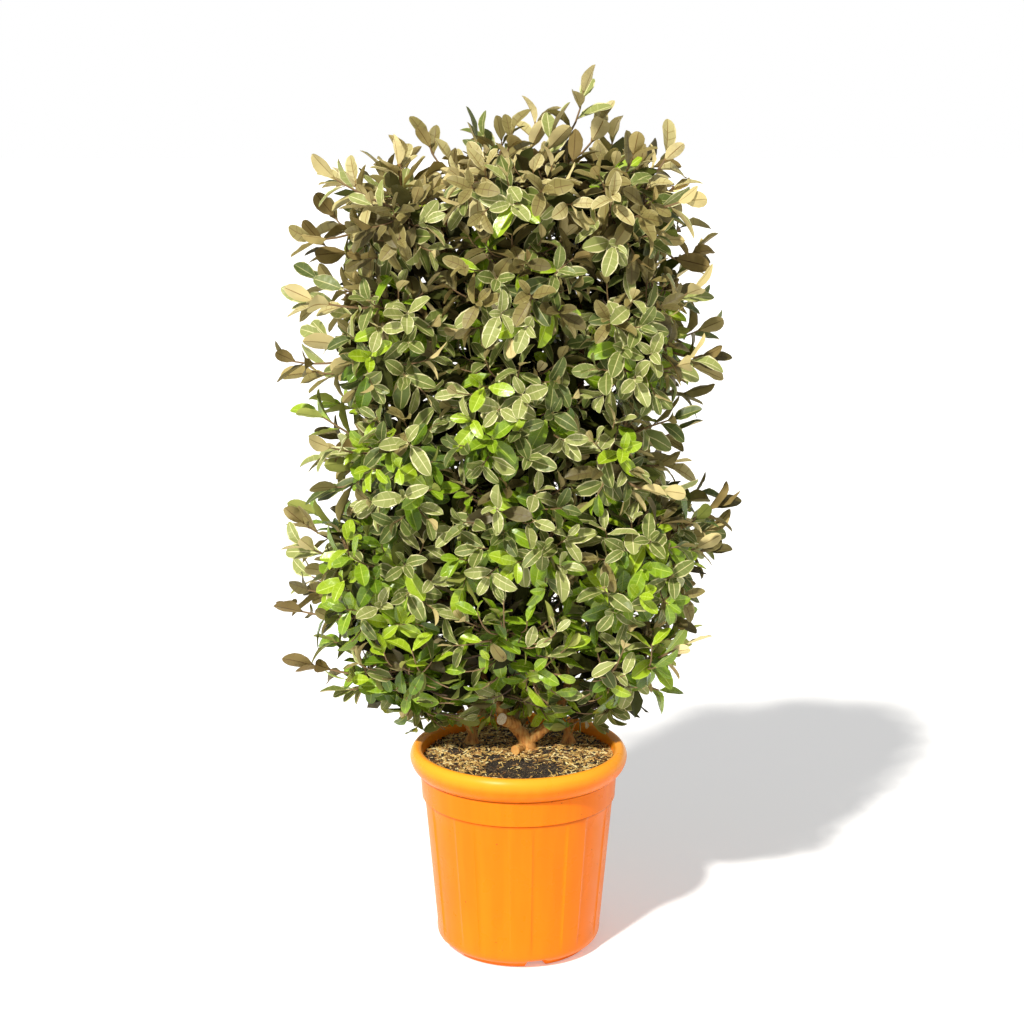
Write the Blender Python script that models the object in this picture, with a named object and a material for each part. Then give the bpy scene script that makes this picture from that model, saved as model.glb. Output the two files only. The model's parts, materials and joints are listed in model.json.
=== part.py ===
"""A potted elaeagnus: a dense evergreen shrub, trained as an upright panel, in a fluted nursery pot.

Metres, +Z up. The origin is the middle of the pot's flat underside, -Y is the front of the panel
and +X its right. Two stems leave a short flared trunk at the soil and climb between three columns
of foliage. Each mass of foliage keeps to a box of its own, so no two masses can touch.
"""

import math
import random
from collections import namedtuple

import bmesh
import bpy
from mathutils import Matrix, Vector
from mathutils.bvhtree import BVHTree

# Clearance between pieces that touch on the real plant
GAP = 0.0003

# The pot
POT_HEIGHT = 0.382
LIP_RADIUS = 0.200
LIP_DEPTH = 0.0465
LIP_OVERHANG = 0.0155
BAND_RADIUS = 0.1815
BAND_DEPTH = 0.048
BAND_STEP = 0.0032
BODY_FOOT_RADIUS = 0.1525
BODY_FOOT_HEIGHT = 0.032
WALL = 0.005
FLOOR = 0.006
FOOT_HEIGHT = 0.009
FOOT_RADIUS = 0.128
FOOT_WIDTH = 0.018
PAD_RADIUS = 0.040
LIP_FOOT = POT_HEIGHT - LIP_DEPTH
BAND_FOOT = LIP_FOOT - BAND_DEPTH
FLOOR_TOP = FOOT_HEIGHT + FLOOR

# The pot's rounded parts: the lip, as pairs of how far it stays inside its greatest radius and how far
# it is above its foot, and the corners over the feet and round the floor inside
LIP_CURVE = ((0.0085, 0.007), (0.0030, 0.016), (0.0, 0.028), (0.0030, 0.0395), (0.0105, LIP_DEPTH))
LIP_INNER_DROP = 0.003
SEAM_HEIGHT = 0.001
WALL_MARGIN = 0.005
FOOT_SPLAY = 0.006
CORNER_INSET = 0.008
CORNER_HEIGHT = 0.0135
INSIDE_CORNER = 0.010

# The shallow flutes pressed into the pot's body, in degrees round the pot
FLUTES = 10
RIB_HALF_WIDTH = 6.5
FLUTE_EDGE = 1.5
FLUTE_DEPTH = 0.0021
FLUTE_PHASE = -88.5
FLUTE_MARGIN = 0.002

# The feet under the pot's corner, in degrees round the pot
FEET = 5
NOTCH_HALF_WIDTH = 8.0
NOTCH_PHASE = -76.5
NOTCH_SHARE = 0.8

# The soil
SOIL_LEVEL = 0.362
SOIL_FLAT_RADIUS = 0.165
SOIL_EDGE_DROP = 0.004
SOIL_CLEAR = 0.00045

# The stems and boughs
TRUNK_X = -0.130
RIGHT_STEM_X = 0.110
TRUNK_RADIUS = 0.0125
STEM_RADIUS = 0.0105
SIDE_STEM_RADIUS = 0.0085
BOUGH_RADIUS = 0.0065
TIP_SHARE = 0.45
FLARE = 0.9
FLARE_HEIGHT = 0.012
TRUNK_SIDES = 8
BOUGH_SIDES = 6
STEM_STEPS = 3
BOUGH_STEPS = 2

# The stems' paths from the soil up, on the centre plane of the panel above their roots
GROUND = SOIL_LEVEL + GAP
TRUNK_KNOTS = (
    (0.014, 0.030, GROUND), (0.011, 0.030, GROUND + 0.022), (-0.028, 0.020, GROUND + 0.075),
    (-0.085, 0.004, 0.550), (TRUNK_X, 0.000, 0.720), (TRUNK_X, 0.004, 1.000), (TRUNK_X, 0.000, 1.370),
)
RIGHT_KNOTS = (
    (0.014, 0.030, GROUND + 0.012), (0.044, 0.030, GROUND + 0.036), (0.076, 0.020, GROUND + 0.085),
    (0.103, 0.004, 0.570), (RIGHT_STEM_X, 0.000, 0.760), (RIGHT_STEM_X, -0.004, 1.080),
    (RIGHT_STEM_X, 0.000, 1.390),
)
SIDE_RIGHT_KNOTS = (
    (0.094, 0.062, GROUND), (0.096, 0.060, GROUND + 0.030), (0.128, 0.045, 0.455), (0.165, 0.030, 0.485),
)
SIDE_LEFT_KNOTS = (
    (-0.088, 0.062, GROUND), (-0.090, 0.060, GROUND + 0.030), (-0.135, 0.040, 0.460),
    (-0.185, 0.020, 0.495),
)

# A bough leaves its stem low in its mass's height, sags a little, and ends inside the mass's core
BOUGH_START = 0.25
BOUGH_REACH = 0.62
BOUGH_SAG = 0.012
BOUGH_DROP = 0.010
BOUGH_TO_STEM = 0.8

# The crown's outline: how far the foliage reaches on the left, the right, the front and the back
CROWN_LEFT = -0.448
CROWN_RIGHT = 0.412
CROWN_HALF_DEPTH = 0.262
CROWN_FOOT = 0.395
CROWN_TOP = 1.622
MASS_GAP = 0.002

# Foliage: each mass has a core, shoots that fan out from its stem, and leaves along the shoots and
# on short spurs of the core
REACH_POWER = 4
REACH_SLACK = 1.10
CORE_SHARES = Vector((0.74, 0.56, 0.80))
CORE_NOISE = 0.08
MASS_STEM_SHARE = 0.8
MIDDLE_JOINT = 0.3
SPUR_LEAVES = 20
SPUR_DEPTH = 0.90
SPUR_SPREAD = Vector((0.9, 1.3, 0.6))
SHOOTS = 4
SHOOT_RADIUS = 0.0050
SHOOT_TIP_RADIUS = 0.0034
SHOOT_REACHES = (0.72, 0.84)
SHOOT_RISE = 0.02
SHOOT_START = 0.08
LEAF_STATIONS = (0.74, 0.85, 0.96)
LEADER_STATIONS = (0.45, 0.62, 0.79, 0.96)
LEADER_LEAF = 0.95
LEAF_LENGTH = 0.124
LEAF_WIDTH = 0.074
LEAF_THICKNESS = 0.0046
LEAF_WIDEST = 0.50
LEAF_ANGLES = tuple(math.radians(angle) for angle in (62, 80, 40))
SPUR_ANGLES = tuple(math.radians(angle) for angle in (58, 68, 45))
LEAF_SIZES = (1.05, 0.90, 0.75)
LEAF_TRIES = 7
LEAF_TURN = math.radians(137.5)
DISORDER = 0.2
BLADE_START = 0.18
FACING_UP = 0.25
EDGE_ON = 0.15
LIMB_CLEARANCE = 0.004

# A mass of foliage by its tier, its two ends and its outer reach, and a column of masses by its side,
# its inner and outer edge in x, its half depth, and its masses from the pot up
Mass = namedtuple("Mass", "tier low high reach")
Column = namedtuple("Column", "sign inner outer depth masses")
COLUMNS = {
    "left": Column(-1, TRUNK_X, CROWN_LEFT, 0.225, (
        Mass("skirt", 0.410, 0.600, -0.385),
        Mass("low", 0.600, 0.815, -0.412),
        Mass("waist", 0.815, 1.035, -0.372),
        Mass("high", 1.035, 1.255, -0.400),
        Mass("top", 1.255, 1.455, -0.362),
    )),
    "middle": Column(0, TRUNK_X, RIGHT_STEM_X, 0.245, (
        Mass("skirt", 0.420, 0.695, 0.0),
        Mass("low", 0.695, 0.920, 0.0),
        Mass("waist", 0.920, 1.140, 0.0),
        Mass("high", 1.140, 1.340, 0.0),
        Mass("top", 1.340, 1.510, 0.0),
    )),
    "right": Column(1, RIGHT_STEM_X, CROWN_RIGHT, 0.225, (
        Mass("skirt", 0.405, 0.630, 0.318),
        Mass("low", 0.630, 0.855, 0.352),
        Mass("waist", 0.855, 1.030, 0.275),
        Mass("high", 1.030, 1.270, 0.330),
        Mass("top", 1.270, 1.490, 0.300),
    )),
}

# The long shoots that stand out of the outline, by the mass that they grow from
LEADERS = {
    "left_skirt": (Vector((-0.425, -0.03, 0.555)), Vector((-0.375, -0.06, 0.478))),
    "left_low": (Vector((-0.440, 0.02, 0.683)),),
    "left_waist": (Vector((-0.402, 0.03, 0.930)), Vector((-0.385, -0.05, 0.880))),
    "left_high": (Vector((-0.420, -0.02, 1.215)), Vector((-0.418, 0.03, 1.085))),
    "left_top": (Vector((-0.350, 0.02, 1.395)), Vector((-0.275, -0.01, 1.462))),
    "middle_top": (Vector((-0.112, 0.01, 1.525)), Vector((0.090, 0.00, 1.612))),
    "right_skirt": (Vector((0.312, -0.03, 0.480)),),
    "right_low": (Vector((0.404, -0.01, 0.848)), Vector((0.350, 0.05, 0.655))),
    "right_waist": (Vector((0.330, 0.02, 0.990)),),
    "right_high": (Vector((0.362, 0.01, 1.090)), Vector((0.344, -0.03, 1.225))),
    "right_top": (Vector((0.272, 0.00, 1.505)), Vector((0.300, 0.02, 1.400))),
}

BARK = ("bark", (0.36, 0.17, 0.075), 0.75)
PLASTIC = ("orange_plastic", (0.90, 0.30, 0.045), 0.42)
COMPOST = ("compost", (0.045, 0.028, 0.018), 0.95)
FOLIAGE = {
    "skirt": ("leaf_fresh", (0.10, 0.26, 0.035), 0.45),
    "low": ("leaf_fresh", (0.10, 0.26, 0.035), 0.45),
    "waist": ("leaf_silver", (0.19, 0.26, 0.10), 0.50),
    "high": ("leaf_silver", (0.19, 0.26, 0.10), 0.50),
    "top": ("leaf_olive", (0.23, 0.18, 0.055), 0.55),
}


def clear_scene():
    for old in list(bpy.data.objects):
        bpy.data.objects.remove(old, do_unlink=True)


def material(name, color, roughness):
    """The material of that name, made the first time that it is asked for."""
    found = bpy.data.materials.get(name)
    if found:
        return found
    made = bpy.data.materials.new(name)
    made.use_nodes = True
    shader = made.node_tree.nodes["Principled BSDF"]
    shader.inputs["Base Color"].default_value = (*color, 1.0)
    shader.inputs["Roughness"].default_value = roughness
    shader.inputs["Metallic"].default_value = 0.0
    return made


def add_object(name, bm, finish=None, collection=None):
    """A finished bmesh as an object of the scene, or of a collection of Boolean pieces."""
    bmesh.ops.recalc_face_normals(bm, faces=bm.faces)
    mesh = bpy.data.meshes.new(name)
    bm.to_mesh(mesh)
    bm.free()
    if finish:
        mesh.materials.append(material(*finish))
    made = bpy.data.objects.new(name, mesh)
    (collection or bpy.context.scene.collection).objects.link(made)
    return made


def apply_boolean(body, operation, pieces):
    """Applies one Boolean of a collection's pieces to a body."""
    boolean = body.modifiers.new(operation.lower(), "BOOLEAN")
    boolean.operation = operation
    boolean.solver = "EXACT"
    boolean.operand_type = "COLLECTION"
    boolean.collection = pieces
    graph = bpy.context.evaluated_depsgraph_get()
    result = bpy.data.meshes.new_from_object(body.evaluated_get(graph))
    body.modifiers.remove(boolean)
    old = body.data
    body.data = result
    bpy.data.meshes.remove(old)


def new_collection(name):
    made = bpy.data.collections.new(name)
    bpy.context.scene.collection.children.link(made)
    return made


def drop_collection(pieces):
    """Removes a collection with the objects and meshes in it."""
    for piece in list(pieces.objects):
        mesh = piece.data
        bpy.data.objects.remove(piece, do_unlink=True)
        bpy.data.meshes.remove(mesh)
    bpy.data.collections.remove(pieces)


def keep_largest_island(body):
    """Drops the loose scraps and fills the sealed hollows that joining leaves in a mesh."""
    bm = bmesh.new()
    bm.from_mesh(body.data)
    unseen = set(bm.faces)
    islands = []
    while unseen:
        growing = [unseen.pop()]
        island = []
        while growing:
            face = growing.pop()
            island.append(face)
            beside = {other for edge in face.edges for other in edge.link_faces} & unseen
            unseen -= beside
            growing.extend(beside)
        islands.append(island)
    islands.sort(key=len)
    for island in islands[:-1]:
        bmesh.ops.delete(bm, geom=island, context="FACES")
    bmesh.ops.triangulate(bm, faces=bm.faces)
    bm.to_mesh(body.data)
    bm.free()
    return len(islands) - 1


# Turned pieces

def column_angles():
    """The directions of the pot's columns of points: two on each rib and three in each flute."""
    period = 360 / FLUTES
    flute_start = RIB_HALF_WIDTH + FLUTE_EDGE
    flute_end = period - flute_start
    in_period = (-RIB_HALF_WIDTH, RIB_HALF_WIDTH, flute_start, (flute_start + flute_end) / 2, flute_end)
    return [
        math.radians(FLUTE_PHASE + period * flute + angle) for flute in range(FLUTES) for angle in in_period
    ]


def spin_profile(profile, angles):
    """A closed solid of revolution: the profile runs from the axis to the axis, and its copies are
    turned from even steps to the angles given."""
    bm = bmesh.new()
    points = [bm.verts.new((radius, 0.0, height)) for radius, height in profile]
    edges = [bm.edges.new(pair) for pair in zip(points, points[1:])]
    bmesh.ops.spin(
        bm, geom=points + edges, cent=(0, 0, 0), axis=(0, 0, 1), angle=2 * math.pi,
        steps=len(angles), use_merge=True,
    )
    bmesh.ops.remove_doubles(bm, verts=bm.verts, dist=1e-6)
    step = 2 * math.pi / len(angles)
    for vert in bm.verts:
        radius = math.hypot(vert.co.x, vert.co.y)
        if radius > 1e-6:
            column = round(math.atan2(vert.co.y, vert.co.x) / step) % len(angles)
            vert.co.x = radius * math.cos(angles[column])
            vert.co.y = radius * math.sin(angles[column])
    return bm


def body_radius(height):
    """The outer radius of the pot's body, between its foot and its band."""
    top_radius = BAND_RADIUS - 2 * BAND_STEP
    share = (height - BODY_FOOT_HEIGHT) / (BAND_FOOT - BODY_FOOT_HEIGHT)
    return BODY_FOOT_RADIUS + share * (top_radius - BODY_FOOT_RADIUS)


def inner_radius(height):
    return body_radius(height) - WALL


def pot_profile():
    """The pot's section from the middle of its underside, up the outside and down the inside."""
    foot_inner = FOOT_RADIUS - FOOT_WIDTH
    inside_corner = FLOOR_TOP + INSIDE_CORNER
    foot = [
        (0, 0),
        (PAD_RADIUS, 0),
        (PAD_RADIUS + FOOT_HEIGHT, FOOT_HEIGHT),
        (foot_inner - FOOT_HEIGHT, FOOT_HEIGHT),
        (foot_inner, 0),
        (FOOT_RADIUS, 0),
        (FOOT_RADIUS + FOOT_SPLAY, FOOT_HEIGHT),
        (BODY_FOOT_RADIUS - CORNER_INSET, CORNER_HEIGHT),
    ]
    wall = [
        (body_radius(height), height)
        for height in (BODY_FOOT_HEIGHT, BODY_FOOT_HEIGHT + WALL_MARGIN, BAND_FOOT - WALL_MARGIN, BAND_FOOT)
    ]
    band = [
        (BAND_RADIUS - BAND_STEP, BAND_FOOT + SEAM_HEIGHT),
        (BAND_RADIUS, LIP_FOOT),
        (LIP_RADIUS - LIP_OVERHANG, LIP_FOOT + SEAM_HEIGHT),
    ]
    lip = [(LIP_RADIUS - inset, LIP_FOOT + height) for inset, height in LIP_CURVE]
    inside = [
        (inner_radius(POT_HEIGHT), POT_HEIGHT - LIP_INNER_DROP),
        (inner_radius(LIP_FOOT), LIP_FOOT),
        (inner_radius(inside_corner), inside_corner),
        (inner_radius(inside_corner) - INSIDE_CORNER, FLOOR_TOP),
        (0, FLOOR_TOP),
    ]
    return foot + wall + band + lip + inside


def press_flutes(bm):
    """Moves the flutes' columns inwards, between the body's corner and its band."""
    low = BODY_FOOT_HEIGHT + FLUTE_MARGIN
    high = BAND_FOOT - FLUTE_MARGIN
    half_flute = math.radians(180 / FLUTES - RIB_HALF_WIDTH)
    period = 2 * math.pi / FLUTES
    for vert in bm.verts:
        radius = math.hypot(vert.co.x, vert.co.y)
        if low < vert.co.z < high and radius > inner_radius(vert.co.z) + WALL / 2:
            angle = math.atan2(vert.co.y, vert.co.x) - math.radians(FLUTE_PHASE)
            from_rib = (angle + period / 2) % period - period / 2
            if abs(from_rib) > period / 2 - half_flute + 1e-4:
                vert.co.xy *= (radius - FLUTE_DEPTH) / radius


def cut_notches(bm):
    """Lifts the foot ring between the feet."""
    period = 2 * math.pi / FEET
    for vert in bm.verts:
        radius = math.hypot(vert.co.x, vert.co.y)
        if vert.co.z < FOOT_HEIGHT / 2 and radius > PAD_RADIUS + FOOT_HEIGHT:
            angle = math.atan2(vert.co.y, vert.co.x) - math.radians(NOTCH_PHASE)
            from_notch = (angle + period / 2) % period - period / 2
            if abs(from_notch) < math.radians(NOTCH_HALF_WIDTH):
                vert.co.z = FOOT_HEIGHT * NOTCH_SHARE


def make_pot():
    bm = spin_profile(pot_profile(), column_angles())
    press_flutes(bm)
    cut_notches(bm)
    add_object("pot", bm, PLASTIC).data.set_sharp_from_angle(angle=math.radians(30))


def make_soil():
    corner = FLOOR_TOP + INSIDE_CORNER
    edge = SOIL_LEVEL - SOIL_EDGE_DROP
    profile = [
        (0, FLOOR_TOP + GAP),
        (inner_radius(corner) - INSIDE_CORNER - SOIL_CLEAR, FLOOR_TOP + GAP),
        (inner_radius(corner) - SOIL_CLEAR, corner + GAP),
        (inner_radius(edge) - SOIL_CLEAR, edge),
        (SOIL_FLAT_RADIUS, SOIL_LEVEL),
        (0, SOIL_LEVEL),
    ]
    add_object("soil", spin_profile(profile, column_angles()), COMPOST)


# Limbs

def smooth_path(knots, steps):
    """Points on a smooth curve through the knots, with that many steps between two knots."""
    ends = [2 * knots[0] - knots[1]] + list(knots) + [2 * knots[-1] - knots[-2]]
    path = []
    for a, b, c, d in zip(ends, ends[1:], ends[2:], ends[3:]):
        for step in range(steps):
            t = step / steps
            bend = (2 * a - 5 * b + 4 * c - d) * t**2 + (3 * b - a - 3 * c + d) * t**3
            path.append(0.5 * (2 * b + (c - a) * t + bend))
    path.append(Vector(knots[-1]))
    return path


def frames_along(path):
    """A frame at each point of a path, turned from one to the next without twist."""
    frames = []
    side = Vector((1, 0, 0))
    for i, point in enumerate(path):
        tangent = (path[min(i + 1, len(path) - 1)] - path[max(i - 1, 0)]).normalized()
        if i == 0:
            tangent = Vector((0, 0, 1)) if abs(tangent.z) > 0.8 else tangent
        side = (side - tangent * side.dot(tangent)).normalized()
        other = tangent.cross(side)
        turn = Matrix((side, other, tangent)).transposed()
        frames.append(Matrix.Translation(point) @ turn.to_4x4())
    return frames


def tube(path, radii, sides):
    """A closed tapering tube: a ring, extruded from each point of the path to the next, with caps."""
    frames = frames_along(path)
    places = [frame @ Matrix.Scale(radius, 4) for frame, radius in zip(frames, radii)]
    bm = bmesh.new()
    verts = bmesh.ops.create_circle(bm, cap_ends=False, segments=sides, radius=1.0)["verts"]
    edges = list(bm.edges)
    bmesh.ops.transform(bm, matrix=places[0], verts=verts)
    for before, after in zip(places, places[1:]):
        made = bmesh.ops.extrude_edge_only(bm, edges=edges)["geom"]
        verts = [item for item in made if isinstance(item, bmesh.types.BMVert)]
        edges = [item for item in made if isinstance(item, bmesh.types.BMEdge)]
        bmesh.ops.transform(bm, matrix=after @ before.inverted(), verts=verts)
    bmesh.ops.holes_fill(bm, edges=[edge for edge in bm.edges if edge.is_boundary], sides=sides)
    return bm


class Limb:
    """A tapering limb with the room that it needs, which others are cut clear of."""

    def __init__(self, name, knots, radius, sides, flared=False, steps=STEM_STEPS):
        self.name = name
        self.sides = sides
        self.path = smooth_path([Vector(knot) for knot in knots], steps)
        last = len(self.path) - 1
        self.radii = []
        for i, point in enumerate(self.path):
            size = radius * (1 - (1 - TIP_SHARE) * i / last)
            if flared:
                size *= 1 + FLARE * math.exp(-(point.z - self.path[0].z) / FLARE_HEIGHT)
            self.radii.append(size)

    def solid(self, collection=None):
        return add_object(self.name, tube(self.path, self.radii, self.sides), BARK, collection)

    def room(self, collection):
        """The limb's shape with the gap all round it and past its tip."""
        past_tip = self.path[-1] + (self.path[-1] - self.path[-2]).normalized() * GAP
        path = self.path[:-1] + [past_tip]
        radii = [size + GAP for size in self.radii]
        return add_object(self.name + "_room", tube(path, radii, self.sides), None, collection)

    def at_height(self, height):
        """The limb's middle and radius where it passes a height."""
        nearest = min(range(len(self.path)), key=lambda i: abs(self.path[i].z - height))
        return self.path[nearest].copy(), self.radii[nearest]

    def near(self, space):
        """Whether the limb comes into a mass's space or close beside it."""
        return any(space.holds([point], 2 * self.radii[0]) for point in self.path)

    def distance(self, point):
        """How far a point is outside the limb."""
        found = math.inf
        for a, b, size in zip(self.path, self.path[1:], self.radii):
            along = b - a
            share = max(0.0, min(1.0, (point - a).dot(along) / along.length_squared))
            found = min(found, (a + along * share - point).length - size)
        return found


def cut_clear(body, limbs):
    """Cuts the limbs' rooms out of a body."""
    if not limbs:
        return
    rooms = new_collection(body.name + "_rooms")
    for limb in limbs:
        limb.room(rooms)
    apply_boolean(body, "DIFFERENCE", rooms)
    drop_collection(rooms)


def main_stems():
    """The trunk with its left fork, the right fork, and the two side stems from the same root."""
    return (
        Limb("trunk", TRUNK_KNOTS, TRUNK_RADIUS, TRUNK_SIDES, flared=True),
        Limb("stem_right", RIGHT_KNOTS, STEM_RADIUS, TRUNK_SIDES),
        Limb("stem_side_right", SIDE_RIGHT_KNOTS, SIDE_STEM_RADIUS, BOUGH_SIDES, True, BOUGH_STEPS),
        Limb("stem_side_left", SIDE_LEFT_KNOTS, SIDE_STEM_RADIUS, BOUGH_SIDES, True, BOUGH_STEPS),
    )


def make_boughs(trunk, right):
    """One bough for each outer mass above the skirts, from the stem beside it to the mass's core."""
    boughs = {}
    for side, parent in (("left", trunk), ("right", right)):
        column = COLUMNS[side]
        for mass in column.masses[1:]:
            start, size = parent.at_height(mass.low + BOUGH_START * (mass.high - mass.low))
            reach = abs(mass.reach - column.inner) / 2 * BOUGH_REACH
            end = Vector((column.inner + column.sign * reach, 0.0, (mass.low + mass.high) / 2))
            bend = start.lerp(end, 0.5) - Vector((0, 0, BOUGH_SAG))
            knots = (start, bend, end - Vector((0, 0, BOUGH_DROP)))
            name = side + "_" + mass.tier
            radius = min(BOUGH_RADIUS, size * BOUGH_TO_STEM)
            boughs[name] = Limb("bough_" + name, knots, radius, BOUGH_SIDES, steps=BOUGH_STEPS)
    return boughs


# Foliage

def hull(points):
    bm = bmesh.new()
    verts = [bm.verts.new(point) for point in points]
    bmesh.ops.convex_hull(bm, input=verts)
    return bm


def shoot_points(start, end, start_radius, end_radius):
    """The six corners of a three-sided twig."""
    along = (end - start).normalized()
    side = along.cross(Vector((0.3, 0.2, 1.0))).normalized()
    other = along.cross(side)
    corners = []
    for middle, radius in ((start, start_radius), (end, end_radius)):
        for k in range(3):
            turn = 2 * math.pi * k / 3
            corners.append(middle + (side * math.cos(turn) + other * math.sin(turn)) * radius)
    return corners


def leaf_points(root, along, outward, size):
    """The six corners of an eight-faced leaf: its root and tip, its two sides, its top and its back."""
    length = LEAF_LENGTH * size
    across = along.cross(outward).normalized()
    normal = across.cross(along).normalized()
    waist = root + along * length * LEAF_WIDEST
    half_width = LEAF_WIDTH * size / 2
    half_thickness = LEAF_THICKNESS / 2
    return [
        root, root + along * length, waist + across * half_width, waist - across * half_width,
        waist + normal * half_thickness, waist - normal * half_thickness,
    ]


def rounded_box(direction, half_sizes):
    """How far a box with well rounded edges reaches in a direction from its middle."""
    total = sum(abs(direction[k] / half_sizes[k]) ** REACH_POWER for k in range(3))
    return total ** (-1 / REACH_POWER)


class Space:
    """The box that a mass keeps to, with the rounded reach of its leaves inside it."""

    def __init__(self, side, index):
        column = COLUMNS[side]
        mass = column.masses[index]
        self.name = side + "_" + mass.tier
        self.tier = mass.tier
        near_x, far_x = sorted((column.inner, mass.reach if column.sign else column.outer))
        self.middle = Vector(((near_x + far_x) / 2, 0.0, (mass.low + mass.high) / 2))
        self.reach = Vector(((far_x - near_x) / 2, column.depth, (mass.high - mass.low) / 2))
        box_x = sorted((column.inner, column.outer))
        box_low = mass.low if index else CROWN_FOOT
        box_high = mass.high if index < len(column.masses) - 1 else CROWN_TOP
        half_gap = MASS_GAP / 2
        self.low = Vector((box_x[0] + half_gap, -CROWN_HALF_DEPTH, box_low + half_gap))
        self.high = Vector((box_x[1] - half_gap, CROWN_HALF_DEPTH, box_high - half_gap))

    def holds(self, points, margin=0.0):
        return all(
            self.low[k] - margin < point[k] < self.high[k] + margin for point in points for k in range(3)
        )

    def boundary(self, direction):
        """How far the rounded reach goes in a direction."""
        return rounded_box(direction, self.reach)

    def share(self, point):
        """How far out a point lies, as a share of the reach in its direction."""
        offset = point - self.middle
        return offset.length / self.boundary(offset.normalized())

    def core_share(self, point):
        """How far out a point lies, as a share of the core's size in its direction."""
        offset = point - self.middle
        return offset.length / rounded_box(offset.normalized(), self.reach * CORE_SHARES)


def shoot_directions(count, rng):
    """Directions spread evenly over a ball, with a little seeded disorder."""
    start = rng.random()
    for i in range(count):
        height = 1 - 2 * (i + 0.5) / count
        turn = LEAF_TURN * i + 2 * math.pi * start
        level = math.sqrt(1 - height * height)
        jitter = Vector([rng.uniform(-DISORDER, DISORDER) for _ in range(3)])
        yield Vector((level * math.cos(turn), level * math.sin(turn), height)) + jitter


def core_solid(space, rng):
    """The closed core that a dense mass's shoots stand out of."""
    bm = bmesh.new()
    bmesh.ops.create_icosphere(bm, subdivisions=2, radius=1.0)
    for vert in bm.verts:
        swell = 1 + rng.uniform(-CORE_NOISE, CORE_NOISE)
        direction = (vert.co * space.reach).normalized()
        vert.co = space.middle + direction * rounded_box(direction, space.reach * CORE_SHARES) * swell
    return bm


class Growth:
    """What has grown in one mass so far: its pieces, and their surfaces for the tests of crossing."""

    def __init__(self, space, limbs):
        self.space = space
        self.limbs = [limb for limb in limbs if limb.near(space)]
        self.pieces = new_collection(space.name + "_pieces")
        self.surfaces = []
        self.leaves = 0

    def add(self, name, corners):
        bm = hull(corners)
        self.surfaces.append(BVHTree.FromBMesh(bm))
        add_object(name, bm, None, self.pieces)

    def clear_of_limbs(self, points):
        return all(limb.distance(point) > LIMB_CLEARANCE for limb in self.limbs for point in points)

    def leaf_fits(self, corners, leader):
        """Whether a leaf stays in its space and reach, clear of limbs, core and other leaves."""
        root, tip = corners[:2]
        middle = root.lerp(tip, 0.5)
        if not self.space.holds(corners) or not (leader or self.space.share(tip) < REACH_SLACK):
            return False
        if min(self.space.core_share(middle), self.space.core_share(tip)) < 1 + CORE_NOISE:
            return False
        if not self.clear_of_limbs((*corners, middle)):
            return False
        # The blade is tested from a little above its root, which sinks into its own shoot
        blade = [root.lerp(tip, BLADE_START)] + corners[1:]
        bm = hull(blade)
        surface = BVHTree.FromBMesh(bm)
        bm.free()
        return not any(surface.overlap(other) for other in self.surfaces)

    def grow_shoot(self, tip, leader, rng):
        """One shoot with its leaves: at each place along it the first leaf of a few that fits."""
        space = self.space
        start = space.middle + (tip - space.middle) * SHOOT_START
        along = (tip - start).normalized()
        end = tip - along * LEAF_LENGTH * LEADER_LEAF if leader else tip
        corners = shoot_points(start, end, SHOOT_RADIUS, SHOOT_TIP_RADIUS)
        if not space.holds(corners) or not self.clear_of_limbs([start.lerp(end, k / 6) for k in range(7)]):
            return
        self.add("shoot", corners)
        stations = LEADER_STATIONS if leader else LEAF_STATIONS
        for station in stations:
            first = [(0.0, 1.0)] if station == stations[-1] else []
            self.grow_leaf(start.lerp(end, station), along, LEAF_ANGLES, first, leader, rng)

    def grow_leaf(self, root, along, angles, first, leader, rng):
        """The first leaf that fits at a root, of those that lean away from a direction by the angles."""
        side = along.cross(Vector((0.1, 0.2, 1))).normalized()
        turn = rng.uniform(0, 2 * math.pi)
        outward = (root - self.space.middle).normalized() + Vector((0, 0, FACING_UP))
        for angle, size in first + [(a, s) for s in LEAF_SIZES for a in angles for _ in range(LEAF_TRIES)]:
            turn += LEAF_TURN
            axis = Matrix.Rotation(turn, 3, along) @ side
            heading = (along * math.cos(angle) + axis * math.sin(angle)).normalized()
            facing = outward - heading * outward.dot(heading)
            if facing.length < EDGE_ON:
                facing = axis
            corners = leaf_points(root, heading, facing, size)
            if self.leaf_fits(corners, leader):
                self.add("leaf", corners)
                self.leaves += 1
                return

    def grow_spurs(self, rng):
        """Leaves on short spurs all round the core."""
        for ball in shoot_directions(SPUR_LEAVES, rng):
            direction = (ball * self.space.reach * SPUR_SPREAD).normalized()
            depth = rounded_box(direction, self.space.reach * CORE_SHARES) * SPUR_DEPTH
            self.grow_leaf(self.space.middle + direction * depth, direction, SPUR_ANGLES, [], False, rng)


def shoot_tips(space, rng):
    """The tips of a mass's shoots: the long leaders first, then the even fan."""
    for tip in LEADERS.get(space.name, ()):
        yield tip, True
    for ball in shoot_directions(SHOOTS, rng):
        direction = (ball * space.reach).normalized()
        length = space.boundary(direction) * rng.uniform(*SHOOT_REACHES)
        yield space.middle + direction * length + Vector((0, 0, SHOOT_RISE)), False


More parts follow.
